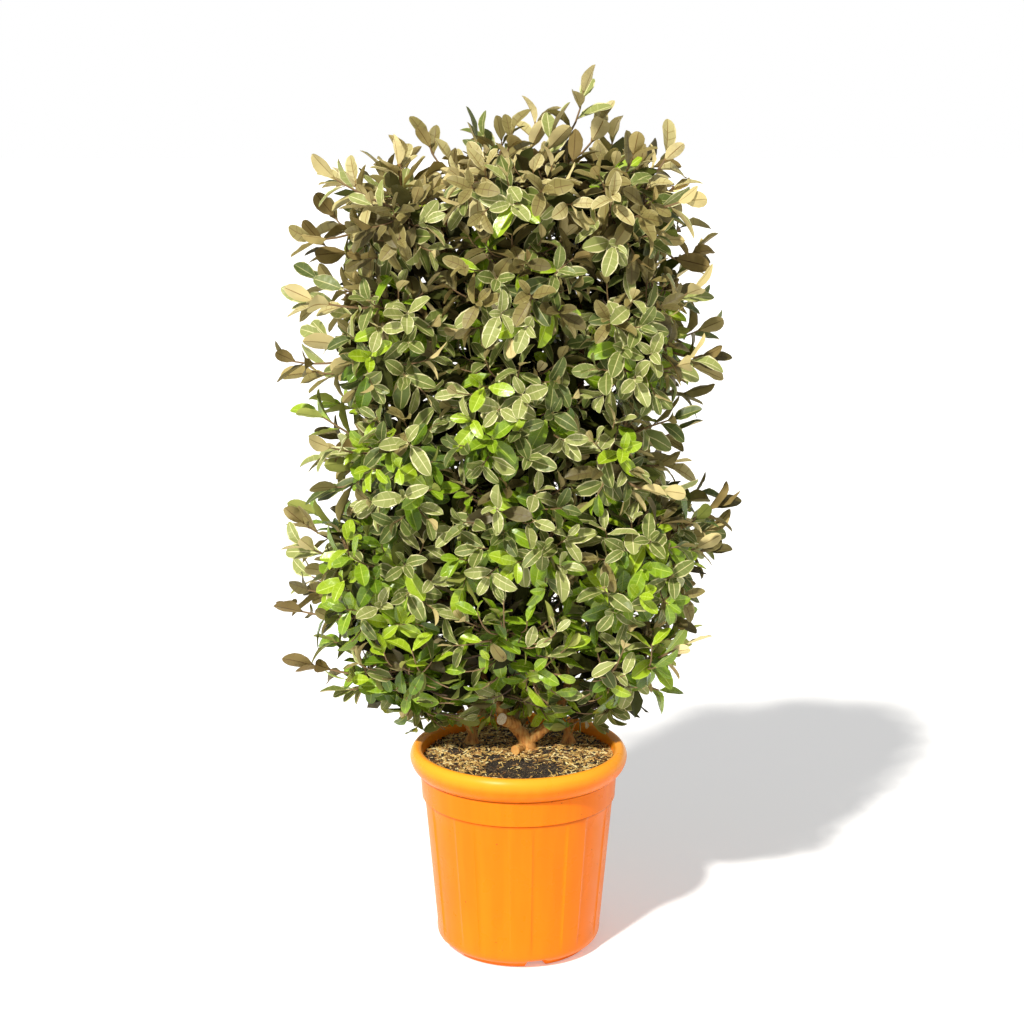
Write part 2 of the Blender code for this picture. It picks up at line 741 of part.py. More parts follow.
def make_mass(space, limb, join_point, limbs):
    """One mass: its stem from the limb, its core, its shoots and their leaves, joined into a solid."""
    rng = random.Random("elaeagnus " + space.name)
    mass = add_object(space.name, core_solid(space, rng), FOLIAGE[space.tier])
    growth = Growth(space, limbs)
    growth.add("stem", shoot_points(join_point, space.middle, limb.radii[-1] * MASS_STEM_SHARE, SHOOT_RADIUS))
    growth.surfaces.clear()
    for tip, leader in shoot_tips(space, rng):
        growth.grow_shoot(tip, leader, rng)
    growth.grow_spurs(rng)
    apply_boolean(mass, "UNION", growth.pieces)
    drop_collection(growth.pieces)
    cut_clear(mass, growth.limbs)
    scraps = keep_largest_island(mass)
    print(space.name, growth.leaves, "leaves,", scraps, "scraps,", len(mass.data.polygons), "triangles")
    return growth.leaves


def main():
    clear_scene()
    make_pot()
    make_soil()
    trunk, right, side_right, side_left = main_stems()
    boughs = make_boughs(trunk, right)
    trunk.solid()
    cut_clear(right.solid(), [trunk])
    side_right.solid()
    side_left.solid()
    for name, bough in boughs.items():
        cut_clear(bough.solid(), [trunk if name.startswith("left") else right])
    limbs = [trunk, right, side_right, side_left, *boughs.values()]
    leaves = 0
    for side, column in COLUMNS.items():
        for index in range(len(column.masses)):
            space = Space(side, index)
            if side == "middle":
                limb = trunk if index % 2 else right
                join_point = limb.at_height(space.middle.z - MIDDLE_JOINT * space.reach.z)[0]
            else:
                limb = boughs.get(space.name, side_left if side == "left" else side_right)
                join_point = limb.path[-1]
            leaves += make_mass(space, limb, join_point, limbs)
    print(leaves, "leaves")


main()
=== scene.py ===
# %% [markdown]
# A potted elaeagnus, dressed
# The plant has already been built as plain solids: a pot, its soil, the stems and fifteen masses of
# foliage. They say where everything stands and how far it reaches. This lesson gives each of them its
# real surface: moulded plastic, compost with wood chips, bark, and thousands of small leaves. The
# solids are loaded first and never moved, and each new piece names the solids that it stands for.

# %% Load the frame
import json
import math
import random
from collections import namedtuple
from itertools import product

import bmesh
import bpy
import numpy as np
from mathutils import Matrix, Vector, noise
from mathutils.bvhtree import BVHTree

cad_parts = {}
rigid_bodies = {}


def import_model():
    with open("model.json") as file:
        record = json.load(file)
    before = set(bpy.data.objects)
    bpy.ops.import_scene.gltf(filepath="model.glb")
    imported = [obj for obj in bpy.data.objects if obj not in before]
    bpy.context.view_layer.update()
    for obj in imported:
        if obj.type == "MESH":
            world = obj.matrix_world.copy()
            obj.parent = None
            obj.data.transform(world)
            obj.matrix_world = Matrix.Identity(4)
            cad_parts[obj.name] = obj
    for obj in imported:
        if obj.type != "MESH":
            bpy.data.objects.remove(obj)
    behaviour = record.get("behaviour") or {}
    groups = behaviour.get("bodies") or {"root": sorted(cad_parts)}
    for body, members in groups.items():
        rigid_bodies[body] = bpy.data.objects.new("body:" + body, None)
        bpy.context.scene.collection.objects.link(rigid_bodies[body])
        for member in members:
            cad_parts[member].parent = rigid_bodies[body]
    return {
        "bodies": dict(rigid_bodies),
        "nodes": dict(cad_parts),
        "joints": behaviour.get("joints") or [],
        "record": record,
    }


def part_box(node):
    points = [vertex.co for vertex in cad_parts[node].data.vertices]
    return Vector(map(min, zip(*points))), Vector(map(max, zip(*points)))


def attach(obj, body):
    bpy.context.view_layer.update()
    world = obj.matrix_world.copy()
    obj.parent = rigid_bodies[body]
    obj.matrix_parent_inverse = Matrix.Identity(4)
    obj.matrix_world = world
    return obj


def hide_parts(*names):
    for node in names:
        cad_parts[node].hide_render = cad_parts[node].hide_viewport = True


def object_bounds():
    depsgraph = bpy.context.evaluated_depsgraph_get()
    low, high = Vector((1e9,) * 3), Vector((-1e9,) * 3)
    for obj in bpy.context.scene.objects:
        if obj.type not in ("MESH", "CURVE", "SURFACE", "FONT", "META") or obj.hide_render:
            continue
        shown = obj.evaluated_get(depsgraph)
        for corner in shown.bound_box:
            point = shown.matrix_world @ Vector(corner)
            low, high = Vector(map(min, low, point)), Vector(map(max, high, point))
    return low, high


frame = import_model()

CAD_LOW, CAD_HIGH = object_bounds()
print("the frame reaches from", [round(x, 3) for x in CAD_LOW], "to", [round(x, 3) for x in CAD_HIGH])

# %% [markdown]
# Pieces and their places
# Every piece ends the same way: its mesh becomes an object at the origin, it rides on the one body,
# its finishes are added, and it may stand for some of the solids, which are then hidden. One helper does
# that. The mesh comes from one of two others: from a bmesh where a shape is modelled, or from arrays,
# which is much faster where a shape is repeated thousands of times.

# %% Turn a mesh into a piece
def make_piece(mesh, finishes, slot, nodes, sharp):
    """An object with its mesh's name, riding on the body and standing for the nodes named."""
    for finish in finishes:
        mesh.materials.append(finish)
    mesh.shade_smooth()
    mesh.set_sharp_from_angle(angle=math.radians(sharp))
    piece = bpy.data.objects.new(mesh.name, mesh)
    bpy.context.scene.collection.objects.link(piece)
    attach(piece, "root")
    if nodes:
        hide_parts(*nodes)
    print(mesh.name, "has", sum(polygon.loop_total - 2 for polygon in mesh.polygons), "triangles")


def mesh_of(name, bm):
    """A mesh from a bmesh, which is then freed."""
    mesh = bpy.data.meshes.new(name)
    bm.to_mesh(mesh)
    bm.free()
    return mesh


def mesh_from_arrays(name, points, triangles, finishes):
    """A mesh of triangles from arrays of points, of corners and of each face's material."""
    mesh = bpy.data.meshes.new(name)
    count = len(triangles)
    mesh.vertices.add(len(points))
    mesh.vertices.foreach_set("co", points.astype(np.float32).ravel())
    mesh.loops.add(3 * count)
    mesh.loops.foreach_set("vertex_index", triangles.astype(np.int32).ravel())
    mesh.polygons.add(count)
    mesh.polygons.foreach_set("loop_start", np.arange(0, 3 * count, 3, dtype=np.int32))
    mesh.polygons.foreach_set("material_index", finishes.astype(np.int32))
    mesh.update(calc_edges=True)
    return mesh


def repeated(corners, copies, points_each, start=0):
    """The corners of a template's triangles, for that many copies of it one after another."""
    steps = start + np.arange(copies)[:, None, None] * points_each
    return (corners[None] + steps).reshape(-1, 3)


# %% [markdown]
# Colours and surfaces
# A colour is easiest to read off a photo as red, green and blue from 0 to 255, but a shader works in
# linear light, so one function turns the first into the second. The surfaces are all one kind of
# shader with different noise behind it: noise that drives the roughness breaks up the shine, and
# noise that drives a bump gives the grain. The patterns are read in the object's own coordinates,
# so that they stay on the surface from every side.

# %% Nodes that the finishes share
def tint(red, green, blue):
    """A colour given as it looks on a screen, in the shader's linear light."""
    shares = [part / 255 for part in (red, green, blue)]
    return tuple(
        share / 12.92 if share < 0.04045 else ((share + 0.055) / 1.055) ** 2.4 for share in shares
    )


def new_finish(name, color, roughness):
    """A material, its Principled shader and its node tree."""
    made = bpy.data.materials.new(name)
    made.use_nodes = True
    shader = made.node_tree.nodes["Principled BSDF"]
    shader.inputs["Base Color"].default_value = (*color, 1.0)
    shader.inputs["Roughness"].default_value = roughness
    return made, shader, made.node_tree


def noise_on(tree, scale, detail=4.0, stretch=(1, 1, 1)):
    """A noise pattern on the object's coordinates, which a stretch can draw out along an axis."""
    place = tree.nodes.new("ShaderNodeTexCoord")
    mapping = tree.nodes.new("ShaderNodeMapping")
    mapping.inputs["Scale"].default_value = stretch
    pattern = tree.nodes.new("ShaderNodeTexNoise")
    pattern.inputs["Scale"].default_value = scale
    pattern.inputs["Detail"].default_value = detail
    tree.links.new(place.outputs["Object"], mapping.inputs["Vector"])
    tree.links.new(mapping.outputs["Vector"], pattern.inputs["Vector"])
    return pattern.outputs["Fac"]


def height_on(tree):
    """The height of each point of the surface."""
    place = tree.nodes.new("ShaderNodeTexCoord")
    split = tree.nodes.new("ShaderNodeSeparateXYZ")
    tree.links.new(place.outputs["Object"], split.inputs["Vector"])
    return split.outputs["Z"]


def ramp(tree, value, stops):
    """A ramp of colours or grey levels over a value, given as (position, colour)."""
    node = tree.nodes.new("ShaderNodeValToRGB")
    ends = node.color_ramp.elements
    while len(ends) < len(stops):
        ends.new(0.5)
    for end, (position, color) in zip(ends, stops):
        end.position = position
        end.color = (*color, 1.0) if hasattr(color, "__len__") else (color, color, color, 1.0)
    tree.links.new(value, node.inputs["Fac"])
    return node.outputs["Color"]


def mixed(tree, share, first, second, blend="MIX"):
    """Two colours mixed by a share."""
    node = tree.nodes.new("ShaderNodeMix")
    node.data_type = "RGBA"
    node.blend_type = blend
    for value, place in ((share, node.inputs[0]), (first, node.inputs[6]), (second, node.inputs[7])):
        if isinstance(value, bpy.types.NodeSocket):
            tree.links.new(value, place)
        else:
            place.default_value = (*value, 1.0) if hasattr(value, "__len__") else value
    return node.outputs[2]


def layered(tree, color, layers):
    """A colour under others, each laid on as thickly as a ramp over its own pattern says."""
    for pattern, stops, over in layers:
        color = mixed(tree, ramp(tree, pattern, stops), color, over)
    return color


def vary_roughness(tree, shader, pattern, low, high):
    """Lets a pattern drive the roughness from one value to the other."""
    tree.links.new(ramp(tree, pattern, [(0.3, low), (0.7, high)]), shader.inputs["Roughness"])


def bump(tree, shader, height, distance, strength=1.0):
    """A bump of that depth in metres on a shader, over any bump that it already has."""
    node = tree.nodes.new("ShaderNodeBump")
    node.inputs["Distance"].default_value = distance
    node.inputs["Strength"].default_value = strength
    tree.links.new(height, node.inputs["Height"])
    if shader.inputs["Normal"].is_linked:
        tree.links.new(shader.inputs["Normal"].links[0].from_socket, node.inputs["Normal"])
    tree.links.new(node.outputs["Normal"], shader.inputs["Normal"])


def grainy_finish(name, color, roughness, scale, low, high):
    """A plain colour under a fine grain that drives the roughness and a slight bump."""
    made, shader, tree = new_finish(name, tint(*color), roughness)
    grain = noise_on(tree, scale, 3.0)
    vary_roughness(tree, shader, grain, low, high)
    bump(tree, shader, grain, 0.0003)
    return made


# %% [markdown]
# The pot
# A nursery pot is moulded in one piece: a thick rolled lip, a smooth band under it, and a tapering
# body with shallow upright flutes, all on a ring of feet. A turned shape is a profile that is spun
# round an axis. The profile here is drawn through a few named sizes, with the lip as a smooth curve,
# and the flutes and the feet are pressed into the spun mesh afterwards. Its overall height and
# width come from the solid that it stands for.

# %% The pot's sizes, in metres and degrees
POT_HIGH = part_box("pot")[1]
POT_HEIGHT = POT_HIGH.z
LIP_RADIUS = POT_HIGH.x
LIP_DEPTH = 0.0465
LIP_OVERHANG = 0.0155
BAND_RADIUS = 0.1815
BAND_DEPTH = 0.048
BAND_STEP = 0.0032
LIP_FOOT = POT_HEIGHT - LIP_DEPTH
BAND_FOOT = LIP_FOOT - BAND_DEPTH
BODY_FOOT_RADIUS = 0.1525
BODY_FOOT_HEIGHT = 0.032
WALL = 0.005
FLOOR = 0.006
FOOT_HEIGHT = 0.009
FOOT_RADIUS = 0.128
FOOT_WIDTH = 0.018
FLOOR_TOP = FOOT_HEIGHT + FLOOR
CORNER = FLOOR_TOP + 0.010
PAD_RADIUS = 0.040
FLUTES = 10
RIB_HALF_WIDTH = 6.5
FLUTE_EDGE = 1.5
FLUTE_DEPTH = 0.0021
FLUTE_PHASE = -88.5
FLUTE_END = 0.010
FLUTE_OVERRUN = 0.002
FEET = 5
NOTCH_EDGE = (6.0, 9.0)
NOTCH_TOP = 0.020
NOTCH_LIFT = 0.9
NOTCH_INSET = 0.02
NOTCH_PHASE = -76.5
SEAM_DEPTH = 0.0035
SEAM_HEIGHT = 0.0014
POT_STEPS = 360
print("the pot is", round(2 * LIP_RADIUS, 3), "m across the lip and", round(POT_HEIGHT, 3), "m high")


# %% A smooth line through a few points
def smooth_path(knots, steps):
    """Points on a smooth curve through the knots, with that many steps between two knots."""
    knots = [Vector(knot) for knot in knots]
    ends = [2 * knots[0] - knots[1]] + knots + [2 * knots[-1] - knots[-2]]
    path = []
    for a, b, c, d in zip(ends, ends[1:], ends[2:], ends[3:]):
        for step in range(steps):
            t = step / steps
            bend = (2 * a - 5 * b + 4 * c - d) * t**2 + (3 * b - a - 3 * c + d) * t**3
            path.append(0.5 * (2 * b + (c - a) * t + bend))
    path.append(knots[-1])
    return path


def spin_profile(profile, steps):
    """A closed turned shape from a profile that starts and ends on the axis."""
    bm = bmesh.new()
    points = [bm.verts.new((radius, 0.0, height)) for radius, height in profile]
    edges = [bm.edges.new(pair) for pair in zip(points, points[1:])]
    bmesh.ops.spin(
        bm, geom=points + edges, cent=(0, 0, 0), axis=(0, 0, 1), angle=2 * math.pi,
        steps=steps, use_merge=True,
    )
    bmesh.ops.remove_doubles(bm, verts=bm.verts, dist=1e-6)
    bmesh.ops.recalc_face_normals(bm, faces=bm.faces)
    return bm


# %% The pot's section
def body_radius(height):
    """The outer radius of the pot's body, between its foot and its band."""
    top_radius = BAND_RADIUS - 2 * BAND_STEP
    share = (height - BODY_FOOT_HEIGHT) / (BAND_FOOT - BODY_FOOT_HEIGHT)
    return BODY_FOOT_RADIUS + share * (top_radius - BODY_FOOT_RADIUS)


def inner_radius(height):
    """The radius inside the pot's wall."""
    return body_radius(height) - WALL


def rounded(knots, steps):
    """A smooth stretch of the profile, as pairs of radius and height."""
    return [(point.x, point.y) for point in smooth_path([(*knot, 0) for knot in knots], steps)]


def straight(start, end, steps):
    """A straight stretch of the body's wall in even steps, without its ends."""
    heights = [start + (end - start) * k / steps for k in range(1, steps)]
    return [(body_radius(height), height) for height in heights]


def pot_profile():
    """The pot's section from the middle of its underside, up the outside and down the inside."""
    foot_inner = FOOT_RADIUS - FOOT_WIDTH
    lip_under = LIP_RADIUS - LIP_OVERHANG
    foot = [
        (0, 0), (PAD_RADIUS, 0), (PAD_RADIUS + FOOT_HEIGHT, FOOT_HEIGHT),
        (foot_inner - FOOT_HEIGHT, FOOT_HEIGHT), (foot_inner, 0), (FOOT_RADIUS, 0),
    ]
    corner = rounded([
        (FOOT_RADIUS + 0.003, 0.0012), (FOOT_RADIUS + 0.006, FOOT_HEIGHT),
        (BODY_FOOT_RADIUS - 0.008, 0.0135), (BODY_FOOT_RADIUS - 0.002, 0.022),
        (BODY_FOOT_RADIUS, BODY_FOOT_HEIGHT),
    ], 4)
    wall = straight(BODY_FOOT_HEIGHT, BAND_FOOT - 0.004, 18)
    band_foot_radius = BAND_RADIUS - BAND_STEP
    band = [
        (body_radius(BAND_FOOT), BAND_FOOT - SEAM_HEIGHT),
        (body_radius(BAND_FOOT) - SEAM_DEPTH / 2, BAND_FOOT),
        (band_foot_radius - 0.0012, BAND_FOOT + 0.0002), (band_foot_radius, BAND_FOOT + 0.0014),
        (BAND_RADIUS - 0.0004, LIP_FOOT - SEAM_HEIGHT - 0.001),
        (BAND_RADIUS - 0.0016, LIP_FOOT - SEAM_HEIGHT),
        (BAND_RADIUS - SEAM_DEPTH, LIP_FOOT - SEAM_HEIGHT), (BAND_RADIUS - SEAM_DEPTH, LIP_FOOT),
        (lip_under - 0.004, LIP_FOOT - 0.0006),
    ]
    lip = rounded([
        (lip_under, LIP_FOOT), (LIP_RADIUS - 0.0085, LIP_FOOT + 0.007),
        (LIP_RADIUS - 0.0030, LIP_FOOT + 0.016), (LIP_RADIUS, LIP_FOOT + 0.028),
        (LIP_RADIUS - 0.0030, POT_HEIGHT - 0.007), (LIP_RADIUS - 0.0105, POT_HEIGHT),
        (inner_radius(POT_HEIGHT) + 0.001, POT_HEIGHT - 0.0035),
        (inner_radius(POT_HEIGHT) - 0.002, POT_HEIGHT - 0.014),
    ], 5)
    inside = [
        (inner_radius(CORNER), CORNER), (inner_radius(CORNER) - 0.010, FLOOR_TOP), (0, FLOOR_TOP),
    ]
    return foot + corner + wall + band + lip + inside


# %% Press the flutes and cut the feet
def smooth_step(low, high, value):
    """A share that eases from 0 at the first value to 1 at the second."""
    share = min(1.0, max(0.0, (value - low) / (high - low)))
    return share * share * (3 - 2 * share)


def degrees_from(vert, phase, count):
    """How many degrees a point lies from the nearest of so many even marks round the pot."""
    half_period = 180 / count
    angle = math.degrees(math.atan2(vert.co.y, vert.co.x)) - phase
    return abs((angle + half_period) % (2 * half_period) - half_period)


def press_flutes(bm):
    """Moves the body's wall inwards between the upright ribs, with soft edges and rounded ends."""
    low = BODY_FOOT_HEIGHT - FLUTE_OVERRUN
    for vert in bm.verts:
        radius = vert.co.xy.length
        if not low < vert.co.z < BAND_FOOT or radius < inner_radius(vert.co.z) + WALL / 2:
            continue
        from_rib = degrees_from(vert, FLUTE_PHASE, FLUTES)
        across = smooth_step(RIB_HALF_WIDTH, RIB_HALF_WIDTH + FLUTE_EDGE, from_rib)
        along = smooth_step(low, low + FLUTE_END, vert.co.z)
        along *= smooth_step(BAND_FOOT, BAND_FOOT - FLUTE_END, vert.co.z)
        vert.co.xy *= (radius - FLUTE_DEPTH * across * along) / radius


def cut_notches(bm):
    """Lifts the foot ring and the corner over it between the feet."""
    for vert in bm.verts:
        radius = vert.co.xy.length
        if vert.co.z > NOTCH_TOP or radius < FOOT_RADIUS - FOOT_WIDTH - FOOT_HEIGHT:
            continue
        lift = 1 - smooth_step(*NOTCH_EDGE, degrees_from(vert, NOTCH_PHASE, FEET))
        vert.co.z += FOOT_HEIGHT * NOTCH_LIFT * lift * (1 - vert.co.z / NOTCH_TOP)
        vert.co.xy *= 1 - NOTCH_INSET * lift * (1 - vert.co.z / NOTCH_TOP)


# %% [markdown]
# Moulded plastic
# The pot's orange is strong and even, with a satin shine. Close to, it is never quite flat: the colour
# drifts a little over the wall, faint upright streaks run down it and dark specks sit here and there,
# each of them a noise pattern at its own scale. Dust on the foot is a ramp over the height, and so are a
# painted highlight along the top of the lip and painted shade in the two seams.

# %% The plastic's finish
def plastic_finish():
    """The pot's plastic, with its streaks, specks and dust, a painted highlight on the lip and painted shade
    in the seams, as layers.
    """
    made, shader, tree = new_finish("orange_plastic", tint(239, 121, 4), 0.4)
    drift = ramp(tree, noise_on(tree, 5.0, 3.0), [(0.3, tint(237, 114, 3)), (0.7, tint(241, 123, 3))])
    streaks = noise_on(tree, 55.0, 3.0, (1, 1, 0.05))
    specks = noise_on(tree, 160.0, 1.0)
    height = height_on(tree)
    layers = [
        (streaks, [(0.40, 0.0), (0.75, 0.35)], tint(246, 136, 10)),
        (specks, [(0.765, 0.0), (0.785, 0.75)], tint(120, 62, 18)),
        (height, [(0.0, 0.45), (0.06, 0.0)], tint(216, 116, 28)),
        # painted highlight: a pale yellow band along the top of the lip
        (height, [(POT_HEIGHT - 0.026, 0.0), (POT_HEIGHT - 0.006, 0.75)], tint(252, 172, 48)),
    ]
    # painted shade: a dark brown line in each seam, under the overhang of the lip and the band
    for seam in (LIP_FOOT, BAND_FOOT):
        painted_seam_shade = [(-0.0032, 0.0), (-0.0012, 0.85), (0.0002, 0.85), (0.0014, 0.0)]
        layers.append((height, [(seam + above, share) for above, share in painted_seam_shade], tint(112, 52, 14)))
    tree.links.new(layered(tree, drift, layers), shader.inputs["Base Color"])
    vary_roughness(tree, shader, noise_on(tree, 24.0, 5.0), 0.24, 0.36)
    shader.inputs["Specular IOR Level"].default_value = 0.14
    bump(tree, shader, noise_on(tree, 12.0, 2.0), 0.0012)
    bump(tree, shader, noise_on(tree, 900.0, 2.0), 0.00006)
    return made


# %% Make the pot
pot_bm = spin_profile(pot_profile(), POT_STEPS)
press_flutes(pot_bm)
cut_notches(pot_bm)
make_piece(mesh_of("pot_shell", pot_bm), [plastic_finish()], "orange_plastic", ["pot"], 28)

# %% [markdown]
# The soil
# The compost is dark and crumbly, and it lies a little below the rim. A smooth disc would give it away
# at once, so the disc is spun with many rings and its top is lifted and lowered by noise, coarse
# waves first and crumbs on them. The height is a function, because the chips need it too.

# %% The soil's relief
SOIL_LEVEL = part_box("soil")[1].z
SOIL_EDGE = (0.150, 0.178)
SOIL_EDGE_DROP = 0.004
SOIL_RINGS = 60
SOIL_STEPS = 220
SOIL_WAVE = 0.0035
SOIL_CRUMB = 0.0016
SOIL_CLEAR = 0.0005


def soil_height(x, y):
    """The height of the soil's surface at a place."""
    coarse = noise.noise(Vector((x, y, 0.0)) * 22)
    fine = noise.noise(Vector((x, y, 0.3)) * 170) + 0.6 * noise.noise(Vector((x, y, 0.7)) * 330)
    edge = smooth_step(*SOIL_EDGE, math.hypot(x, y))
    return SOIL_LEVEL + SOIL_WAVE * coarse + SOIL_CRUMB * fine - SOIL_EDGE_DROP * edge


def soil_profile():
    """The soil's section, from its middle below to its middle on top, with even rings on top."""
    edge = inner_radius(SOIL_LEVEL) - SOIL_CLEAR
    rings = [(edge * k / SOIL_RINGS, SOIL_LEVEL) for k in range(SOIL_RINGS, -1, -1)]
    below = [
        (0, FLOOR_TOP + SOIL_CLEAR), (inner_radius(CORNER) - 0.011, FLOOR_TOP + SOIL_CLEAR),
        (inner_radius(CORNER) - SOIL_CLEAR, CORNER + SOIL_CLEAR),
    ]
    return below + rings


# %% [markdown]
# Compost is nearly black where it is damp and a warm brown where it has dried, so its colour is a
# ramp over noise, with fine straw-coloured fibres here and there.

# %% The compost's finish
def compost_finish():
    """The compost: crumbs from nearly black to brown, under a layer of fibres."""
    made, shader, tree = new_finish("compost", tint(58, 44, 34), 0.95)
    crumbs = noise_on(tree, 140.0, 6.0)
    fibres = noise_on(tree, 420.0, 2.0)
    color = ramp(tree, crumbs, [
        (0.32, tint(16, 12, 8)), (0.52, tint(42, 32, 22)), (0.72, tint(92, 72, 46)),
    ])
    color = layered(tree, color, [(fibres, [(0.62, 0.0), (0.70, 0.8)], tint(176, 150, 108))])
    tree.links.new(color, shader.inputs["Base Color"])
    vary_roughness(tree, shader, crumbs, 0.8, 1.0)
    bump(tree, shader, noise_on(tree, 260.0, 5.0), 0.0012)
    return made


# %% Make the soil
soil_bm = spin_profile(soil_profile(), SOIL_STEPS)
for vert in soil_bm.verts:
    if vert.co.z > SOIL_LEVEL - 1e-5:
        vert.co.z = soil_height(vert.co.x, vert.co.y)
make_piece(mesh_of("soil_bed", soil_bm), [compost_finish()], "compost", ["soil"], 40)

# %% [markdown]
# Wood chips on the soil
# Shredded wood lies over the compost, thick at the sides and the back and thin in front, where the dark
# soil shows. A chip is a small splinter, so one block is tapered into a template and copied by
# arrays: each copy gets its own length, turn and tilt. Five plain colours are dealt out to them.

# %% One splinter
CHIPS = 4600
CHIP_REACH = 0.174
CHIP_LENGTH = (0.007, 0.021)
CHIP_WIDTH = (0.0015, 0.0036)
CHIP_THICKNESS = (0.3, 0.6)
CHIP_TILT = 11
CHIP_ROLL = 0.6
CHIP_LIE = (0.0004, 0.0030)
BARE_PLACE = (0.020, -0.105)
BARE_REACH = 0.082
CHIP_COLORS = {
    "chip_straw": (208, 174, 100), "chip_pale": (238, 218, 156), "chip_tan": (176, 134, 74),
    "chip_brown": (110, 76, 40), "chip_dark": (44, 32, 20),
}
CHIP_SHARES = (29, 16, 21, 19, 15)


def template_arrays(bm):
    """A template's points, its triangles, and the material index of each triangle."""
    bmesh.ops.triangulate(bm, faces=bm.faces)
    bm.verts.index_update()
    points = np.array([vert.co[:] for vert in bm.verts])
    triangles = np.array([[vert.index for vert in face.verts] for face in bm.faces])
    roles = np.array([face.material_index for face in bm.faces])
    bm.free()
    return points, triangles, roles


def splinter():
    """A block of unit length that narrows and thins to one end."""
    bm = bmesh.new()
    bmesh.ops.create_cube(bm, size=1.0)
    for vert in bm.verts:
        if vert.co.x > 0:
            vert.co.y *= 0.4
            vert.co.z *= 0.5
    return template_arrays(bm)


# %% Scatter the chips
def bareness(x, y):
    """How bare the soil is at a place, from 0 to 1: a dark patch in front of the stems."""
    away = [abs((value - middle) / BARE_REACH) for value, middle in zip((x, y), BARE_PLACE)]
    return math.exp(-(away[0] ** 3 + away[1] ** 3))


def chip_density(x, y):
    """How likely a chip is at a place: less in front of the stems and in a few bare patches."""
    patchy = 0.5 + 1.1 * noise.noise(Vector((x, y, 2.0)) * 30)
    return (1 - 0.95 * bareness(x, y)) * min(1.0, max(0.10, patchy + 0.15))


def scatter_chips():
    """Arrays of all the chips, laid on the soil one after another."""
    rng = random.Random("chips")
    points, triangles, _ = splinter()
    all_points = []
    finishes = []
    while len(all_points) < CHIPS:
        radius = CHIP_REACH * math.sqrt(rng.random())
        turn = rng.uniform(0, 2 * math.pi)
        x, y = radius * math.cos(turn), radius * math.sin(turn)
        if rng.random() > chip_density(x, y):
            continue
        small = 1 - 0.4 * bareness(x, y)
        length = rng.uniform(*CHIP_LENGTH) * rng.uniform(0.6, 1.0) * small
        width = rng.uniform(*CHIP_WIDTH) * small
        size = np.array((length, width, width * rng.uniform(*CHIP_THICKNESS)))
        turned = Matrix.Rotation(rng.uniform(0, 2 * math.pi), 3, "Z")
        tilted = Matrix.Rotation(math.radians(rng.gauss(0, CHIP_TILT)), 3, "Y")
        rolled = Matrix.Rotation(rng.uniform(-CHIP_ROLL, CHIP_ROLL), 3, "X")
        height = soil_height(x, y) + rng.uniform(*CHIP_LIE)
        matrix = np.array(turned @ tilted @ rolled)
        all_points.append((points * size) @ matrix.T + np.array((x, y, height)))
        finishes.append(rng.choices(range(len(CHIP_COLORS)), CHIP_SHARES)[0])
    corners = repeated(triangles, CHIPS, len(points))
    return np.concatenate(all_points), corners, np.repeat(finishes, len(triangles))


# %% Make the chips
chip_finishes = [
    grainy_finish(name, color, 0.85, 500.0, 0.7, 0.95) for name, color in CHIP_COLORS.items()
]
make_piece(mesh_from_arrays("wood_chips", *scatter_chips()), chip_finishes, "compost", (), 30)

# %% [markdown]
# The stems and the boughs
# Two stems leave one short flared trunk at the soil, two thinner ones come up beside them, and boughs
# carry the outer foliage. Their paths repeat the solids' own rule. Each is a ring that is extruded
# along its path, fine enough for its bark to be real relief: long shallow fissures that follow the
# stem, lumps, and rings where twigs once grew. The relief is noise that moves each point in or
# out from the stem's middle.

# %% The limbs' paths
GROUND = SOIL_LEVEL + 0.0003
TRUNK_X = -0.130
RIGHT_STEM_X = 0.110
TRUNK_RADIUS = 0.0125
STEM_RADIUS = 0.0105
SIDE_STEM_RADIUS = 0.0085
BOUGH_RADIUS = 0.0065
TIP_SHARE = 0.45
FLARE = 0.9
FLARE_HEIGHT = 0.012
PATH_STEPS = 14
SUNK = 0.006
BOUGH_START = 0.25
BOUGH_REACH = 0.62
BOUGH_SAG = 0.012
LIMB_SIDES = 26
BOUGH_SIDES = 14


class Limb:
    """A tapering limb: its path, and its radius at each point of the path."""

    def __init__(self, name, knots, radius, flared=False):
        self.name = name
        self.path = smooth_path(knots, PATH_STEPS)
        last = len(self.path) - 1
        self.radii = []
        for i, point in enumerate(self.path):
            size = radius * (1 - (1 - TIP_SHARE) * i / last)
            if flared:
                size *= 1 + FLARE * math.exp(-(point.z - self.path[0].z) / FLARE_HEIGHT)
            self.radii.append(size)

    def at_height(self, height):
        """The limb's middle and radius where it passes a height."""
        nearest = min(range(len(self.path)), key=lambda i: abs(self.path[i].z - height))
        return self.path[nearest].copy(), self.radii[nearest]

    def distance(self, point):
        """How far a point is outside the limb."""
        return min((place - point).length - size for place, size in zip(self.path, self.radii))


# %% Place the stems and the boughs
TRUNK = Limb("trunk", (
    (0.014, 0.030, GROUND), (0.011, 0.030, GROUND + 0.022), (-0.028, 0.020, GROUND + 0.075),
    (-0.085, 0.004, 0.550), (TRUNK_X, 0.000, 0.720), (TRUNK_X, 0.004, 1.000), (TRUNK_X, 0.000, 1.370),
), TRUNK_RADIUS, flared=True)
STEM_RIGHT = Limb("stem_right", (
    (0.014, 0.030, GROUND + 0.012), (0.044, 0.030, GROUND + 0.036), (0.076, 0.020, GROUND + 0.085),
    (0.103, 0.004, 0.570), (RIGHT_STEM_X, 0.000, 0.760), (RIGHT_STEM_X, -0.004, 1.080),
    (RIGHT_STEM_X, 0.000, 1.390),
), STEM_RADIUS)
STEM_SIDE_RIGHT = Limb("stem_side_right", (
    (0.094, 0.062, GROUND), (0.096, 0.060, GROUND + 0.030), (0.128, 0.045, 0.455), (0.165, 0.030, 0.485),
), SIDE_STEM_RADIUS, flared=True)
